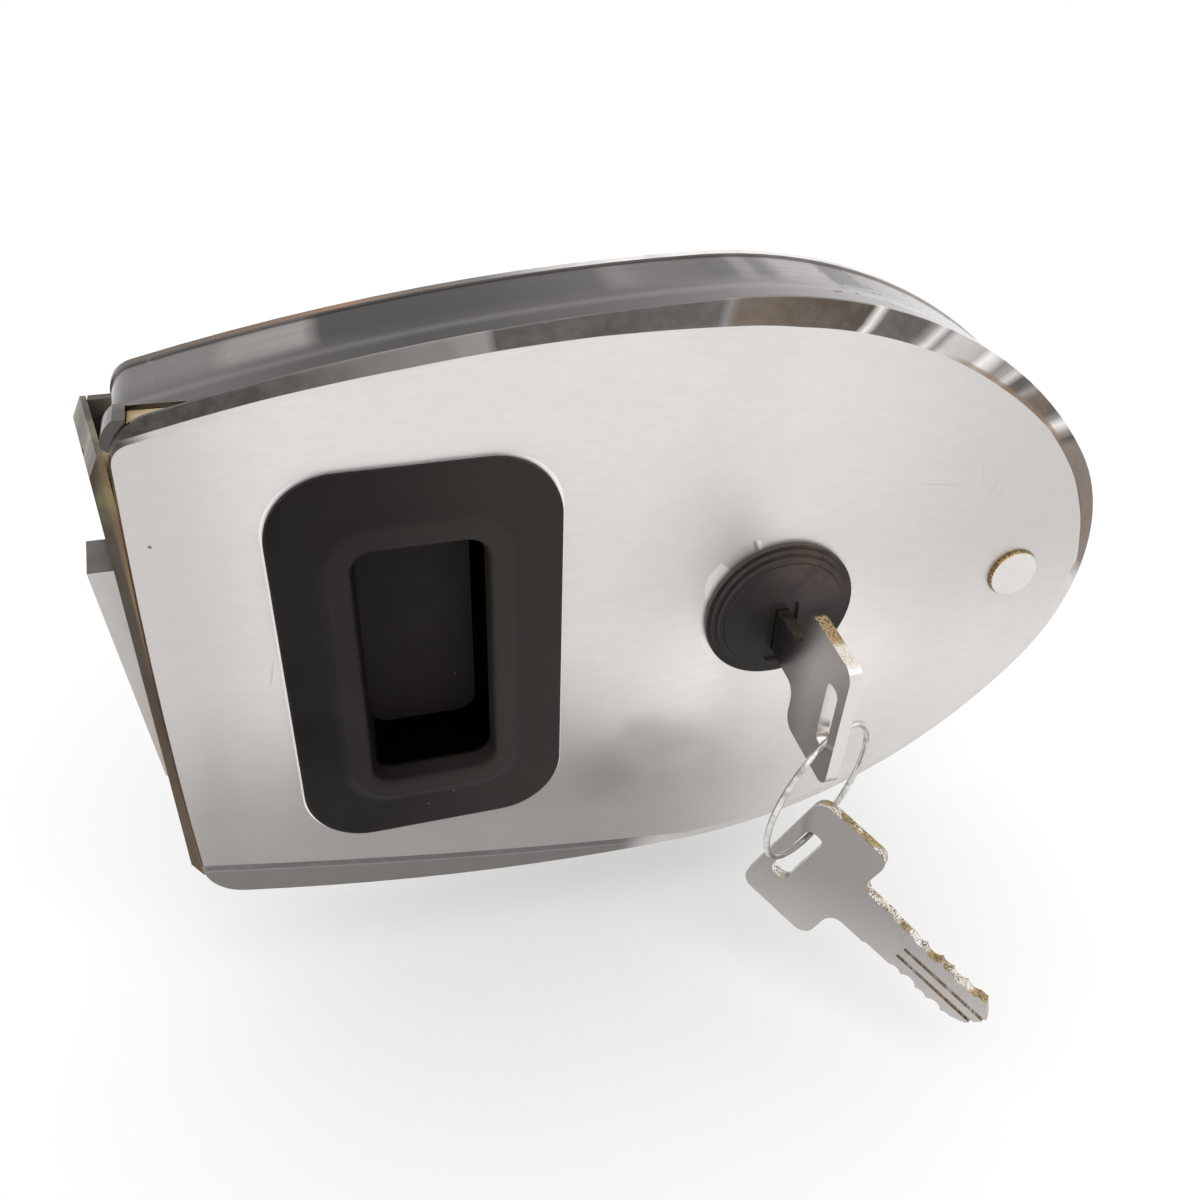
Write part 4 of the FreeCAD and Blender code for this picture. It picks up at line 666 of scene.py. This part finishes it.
def cup_plastic():
    """Matt black finger pull: paler at the right, with a painted highlight along the bead's crest, and
    painted shade, near black, where the pocket's walls turn away.
    """
    look = Look("cup_plastic")
    wander = look.noise(80.0, 3.0, 0.5)
    colour = look.mix(look.fade(look.x, -24 * MM, 20 * MM), tone(10), tone(44))
    colour = look.mix(look.fade(wander, 0.3, 0.7, 0.0, 0.35), colour, tone(30))
    # Painted highlight along the crest of the bead.
    crest_highlight = look.fade(look.y, CUP_LOW[1] + 0.7 * MM, CUP_LOW[1] + 0.05 * MM, 0.0, 0.15)
    colour = look.mix(crest_highlight, colour, tone(62))
    inner = look.fade(look.y, FACE_Y + 0.4 * MM, FACE_Y + 1.4 * MM)
    back = look.fade(look.facing((0, 1, 0)), 0.80, 0.95)
    colour = look.mix(inner, colour, tone(28))
    # Painted shade: near black on the pocket's walls that face up or to the left, with less shine there.
    walls = look.math("MULTIPLY", inner, look.math("SUBTRACT", 1.0, back))
    turned = look.math("MAXIMUM", look.fade(look.normal_along((0, 0, 1)), 0.3, 0.7),
                       look.fade(look.normal_along((-1, 0, 0)), 0.3, 0.7))
    dark = look.math("MULTIPLY", walls, turned)
    colour = look.mix(dark, colour, srgb(4, 3, 3))
    shine = look.math("SUBTRACT", 0.16, look.math("MULTIPLY", dark, 0.16))
    look.feed(look.shader.inputs["Specular IOR Level"], shine)
    fleck = look.math("MULTIPLY", look.math("LESS_THAN", specks(look, 260.0), 0.035),
                      look.math("GREATER_THAN", look.noise(120.0, 1.0), 0.52))
    colour = look.mix(look.math("MULTIPLY", fleck, 0.6), colour, tone(150))
    matt_grain(look, 0.14)
    return look.finish(colour, 0.0, look.fade(wander, 0.3, 0.7, 0.62, 0.50))


def cap_plastic():
    """Charcoal cap and disc, with a paler brownish upper right and a painted sheen on the cap's round side.
    """
    look = Look("cap_plastic")
    wander = look.noise(180.0, 4.0, 0.6)
    colour = look.mix(look.fade(wander, 0.3, 0.7), srgb(36, 34, 33), srgb(44, 41, 40))
    # Paler and browner towards the upper right.
    paler_upper_right = look.math("MULTIPLY", look.fade(look.x, CAP_X - 9 * MM, CAP_X + 9 * MM),
                       look.fade(look.z, -2 * MM, 11 * MM))
    paler_upper_right = look.math("MULTIPLY", paler_upper_right, look.fade(wander, 0.35, 0.6, 0.3, 0.8))
    colour = look.mix(paler_upper_right, colour, srgb(92, 76, 68))
    # Painted sheen: the cap's round side paler than its face.
    side = look.fade(look.facing((0, 1, 0)), 0.6, 0.2, 0.0, 0.7)
    colour = look.mix(side, colour, srgb(86, 79, 74))
    matt_grain(look, 0.12)
    look.shader.inputs["Specular IOR Level"].default_value = 0.20
    return look.finish(colour, 0.0, look.fade(wander, 0.3, 0.7, 0.46, 0.36))


def stud_metal():
    """Round-headed stud: plated crown and a worn golden rim."""
    look = Look("stud_metal")
    pits = look.noise(2400.0, 3.0, 0.6)
    rim = look.mix(look.fade(pits, 0.40, 0.62), srgb(118, 96, 68), srgb(206, 176, 122))
    crown = look.fade(look.facing((0, 1, 0)), 0.66, 0.82)
    shade = look.mix(look.fade(look.noise(500.0, 2.0), 0.3, 0.7, 0.0, 0.10), tone(218), tone(190))
    return look.finish(look.mix(crown, rim, shade), PLATED, look.fade(pits, 0.3, 0.7, 0.34, 0.26))


satin = satin_cover()
wall = polished_wall()
plate_edge = rear_edge()
forend_metal = strip_metal()
bolt_metal = bolt_steel()
zinc = plain_metal("zinc", tone(190), tone(152), PLATED, 0.36, 240.0)
passivated = plain_metal("passivated", srgb(232, 212, 166), srgb(204, 180, 134), 0.35, 0.38, 140.0)
brass = plain_metal("brass", srgb(214, 178, 104), srgb(176, 140, 78), 0.9, 0.30, 220.0)
ring_wire = ring_metal()
cup_black = cup_plastic()
cap_black = cap_plastic()
guide_plastic = moulded("guide_plastic", srgb(58, 58, 60), srgb(44, 44, 46), 0.50)
key_plate = key_metal("key", shaded_inserted_plate, inserted_edge_and_light, inserted_wear)
spare_metal = key_metal("spare_key", spare_plate, spare_edge, spare_wear)
stud = stud_metal()

FINISHES = {
    satin: ["front_cover"],
    wall: ["body_shell"],
    plate_edge: ["back_plate"],
    forend_metal: ["forend"],
    bolt_metal: ["hook_bolt"],
    zinc: ["bolt_pivot", "pivot_spacer", "mount_bosses", "spacer_posts", "back_screws", "tip_post",
           "forend_screws", "case_screws", "drive_bar", "drive_pin", "plug_pin", "cylinder_nut",
           "plug_cam", "cup_retainer", "cup_screws"],
    passivated: ["lock_case", "case_lid"],
    brass: ["cylinder_body", "cylinder_plug", "plug_wafers"],
    ring_wire: ["key_ring"],
    cup_black: ["pull_cup"],
    cap_black: ["cylinder_cap", "keyhole_disc"],
    guide_plastic: ["bar_guides"],
    key_plate: ["key"],
    spare_metal: ["spare_key"],
    stud: ["tip_stud"],
}
for finish, names in FINISHES.items():
    for name in names:
        mesh = nodes[name].data
        for index in range(len(mesh.materials)):
            mesh.materials[index] = finish
        if not mesh.materials:
            mesh.materials.append(finish)


# ---------------------------------------------------------------- the strip inside the corner notch
def flank(x, inset):
    """Height of the case's long upper flank at x, moved in by inset."""
    radius = FLANK_RADIUS - inset
    return HALF_HEIGHT - FLANK_RADIUS + math.sqrt(radius ** 2 - (x - APEX_X) ** 2)


def notch_liner():
    """Thin tapered strip that follows the flank just under the gap between cover and shell."""
    left, right = -37.2 * MM, -28.6 * MM
    deepest, shallowest = 4.55 * MM, 0.25 * MM
    depth, thick, stations = 0.9 * MM, 0.3 * MM, 5
    verts, faces = [], []
    for number in range(stations):
        share = number / (stations - 1)
        x = left + (right - left) * share
        front = COVER_BACK + 0.1 * MM
        rear = COVER_BACK + deepest + (shallowest - deepest) * share
        top = flank(x, depth)
        verts += [(x, front, top), (x, rear, top), (x, rear, top - thick), (x, front, top - thick)]
    for first in range(0, 4 * (stations - 1), 4):
        for side in range(4):
            follow = (side + 1) % 4
            faces.append((first + side, first + follow, first + 4 + follow, first + 4 + side))
    faces += [(3, 2, 1, 0), tuple(4 * (stations - 1) + side for side in range(4))]
    mesh = bpy.data.meshes.new("notch_liner")
    mesh.from_pydata(verts, [], faces)
    mesh.materials.append(liner_metal())
    liner = bpy.data.objects.new("notch_liner", mesh)
    bpy.context.collection.objects.link(liner)
    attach(liner, "case")


notch_liner()


# ---------------------------------------------------------------- floor, light and camera
FLOOR_DROP = 14.0 * MM
FLOOR_REACH = 3.0


def floor():
    """A wide white floor a little under the lowest piece."""
    low, side = cad_box[0][2] - FLOOR_DROP, FLOOR_REACH
    mesh = bpy.data.meshes.new("floor")
    mesh.from_pydata([(-side, -side, low), (side, -side, low), (side, side, low), (-side, side, low)],
                     [], [(0, 1, 2, 3)])
    ground = bpy.data.objects.new("floor", mesh)
    bpy.context.collection.objects.link(ground)
    look = Look("floor_paint")
    wander = look.noise(3.0, 2.0)
    mesh.materials.append(look.finish(look.mix(wander, srgb(254, 254, 254), srgb(255, 255, 255)), 0.0, 0.9))


def world():
    """White all round, as in the photograph's cut-out."""
    surround = bpy.data.worlds.new("studio")
    bpy.context.scene.world = surround
    surround.use_nodes = True
    tree = surround.node_tree
    tree.nodes.clear()
    white = tree.nodes.new("ShaderNodeBackground")
    white.inputs["Color"].default_value = (1, 1, 1, 1)
    white.inputs["Strength"].default_value = 1.0
    output = tree.nodes.new("ShaderNodeOutputWorld")
    tree.links.new(white.outputs[0], output.inputs["Surface"])


def softbox(name, place, target, size, watts):
    """A square area light that faces the target."""
    data = bpy.data.lights.new(name, "AREA")
    data.shape = "SQUARE"
    data.size = size
    data.energy = watts
    light = bpy.data.objects.new(name, data)
    bpy.context.collection.objects.link(light)
    light.location = place
    light.rotation_euler = (Vector(target) - Vector(place)).to_track_quat("-Z", "Y").to_euler()


# The photograph's camera, as worked out from the straight edges of the case.
CAMERA_LENS = 34.60
CAMERA_PLACE = (-0.01722, -0.16680, 0.12101)
CAMERA_TURN = (53.4335, -1.9631, -16.1492)


def camera():
    """Camera at the photograph's place."""
    data = bpy.data.cameras.new("camera")
    data.lens = CAMERA_LENS
    data.sensor_width = 36.0
    data.clip_start = 0.001
    eye = bpy.data.objects.new("camera", data)
    bpy.context.collection.objects.link(eye)
    eye.location = CAMERA_PLACE
    eye.rotation_euler = tuple(math.radians(angle) for angle in CAMERA_TURN)
    bpy.context.scene.camera = eye


floor()
world()
middle = tuple((low + high) / 2 for low, high in zip(*cad_box))
softbox("key_light", (0.25, -0.45, 0.75), middle, 0.5, 1.0)
camera()

bpy.context.scene.view_settings.view_transform = "Standard"
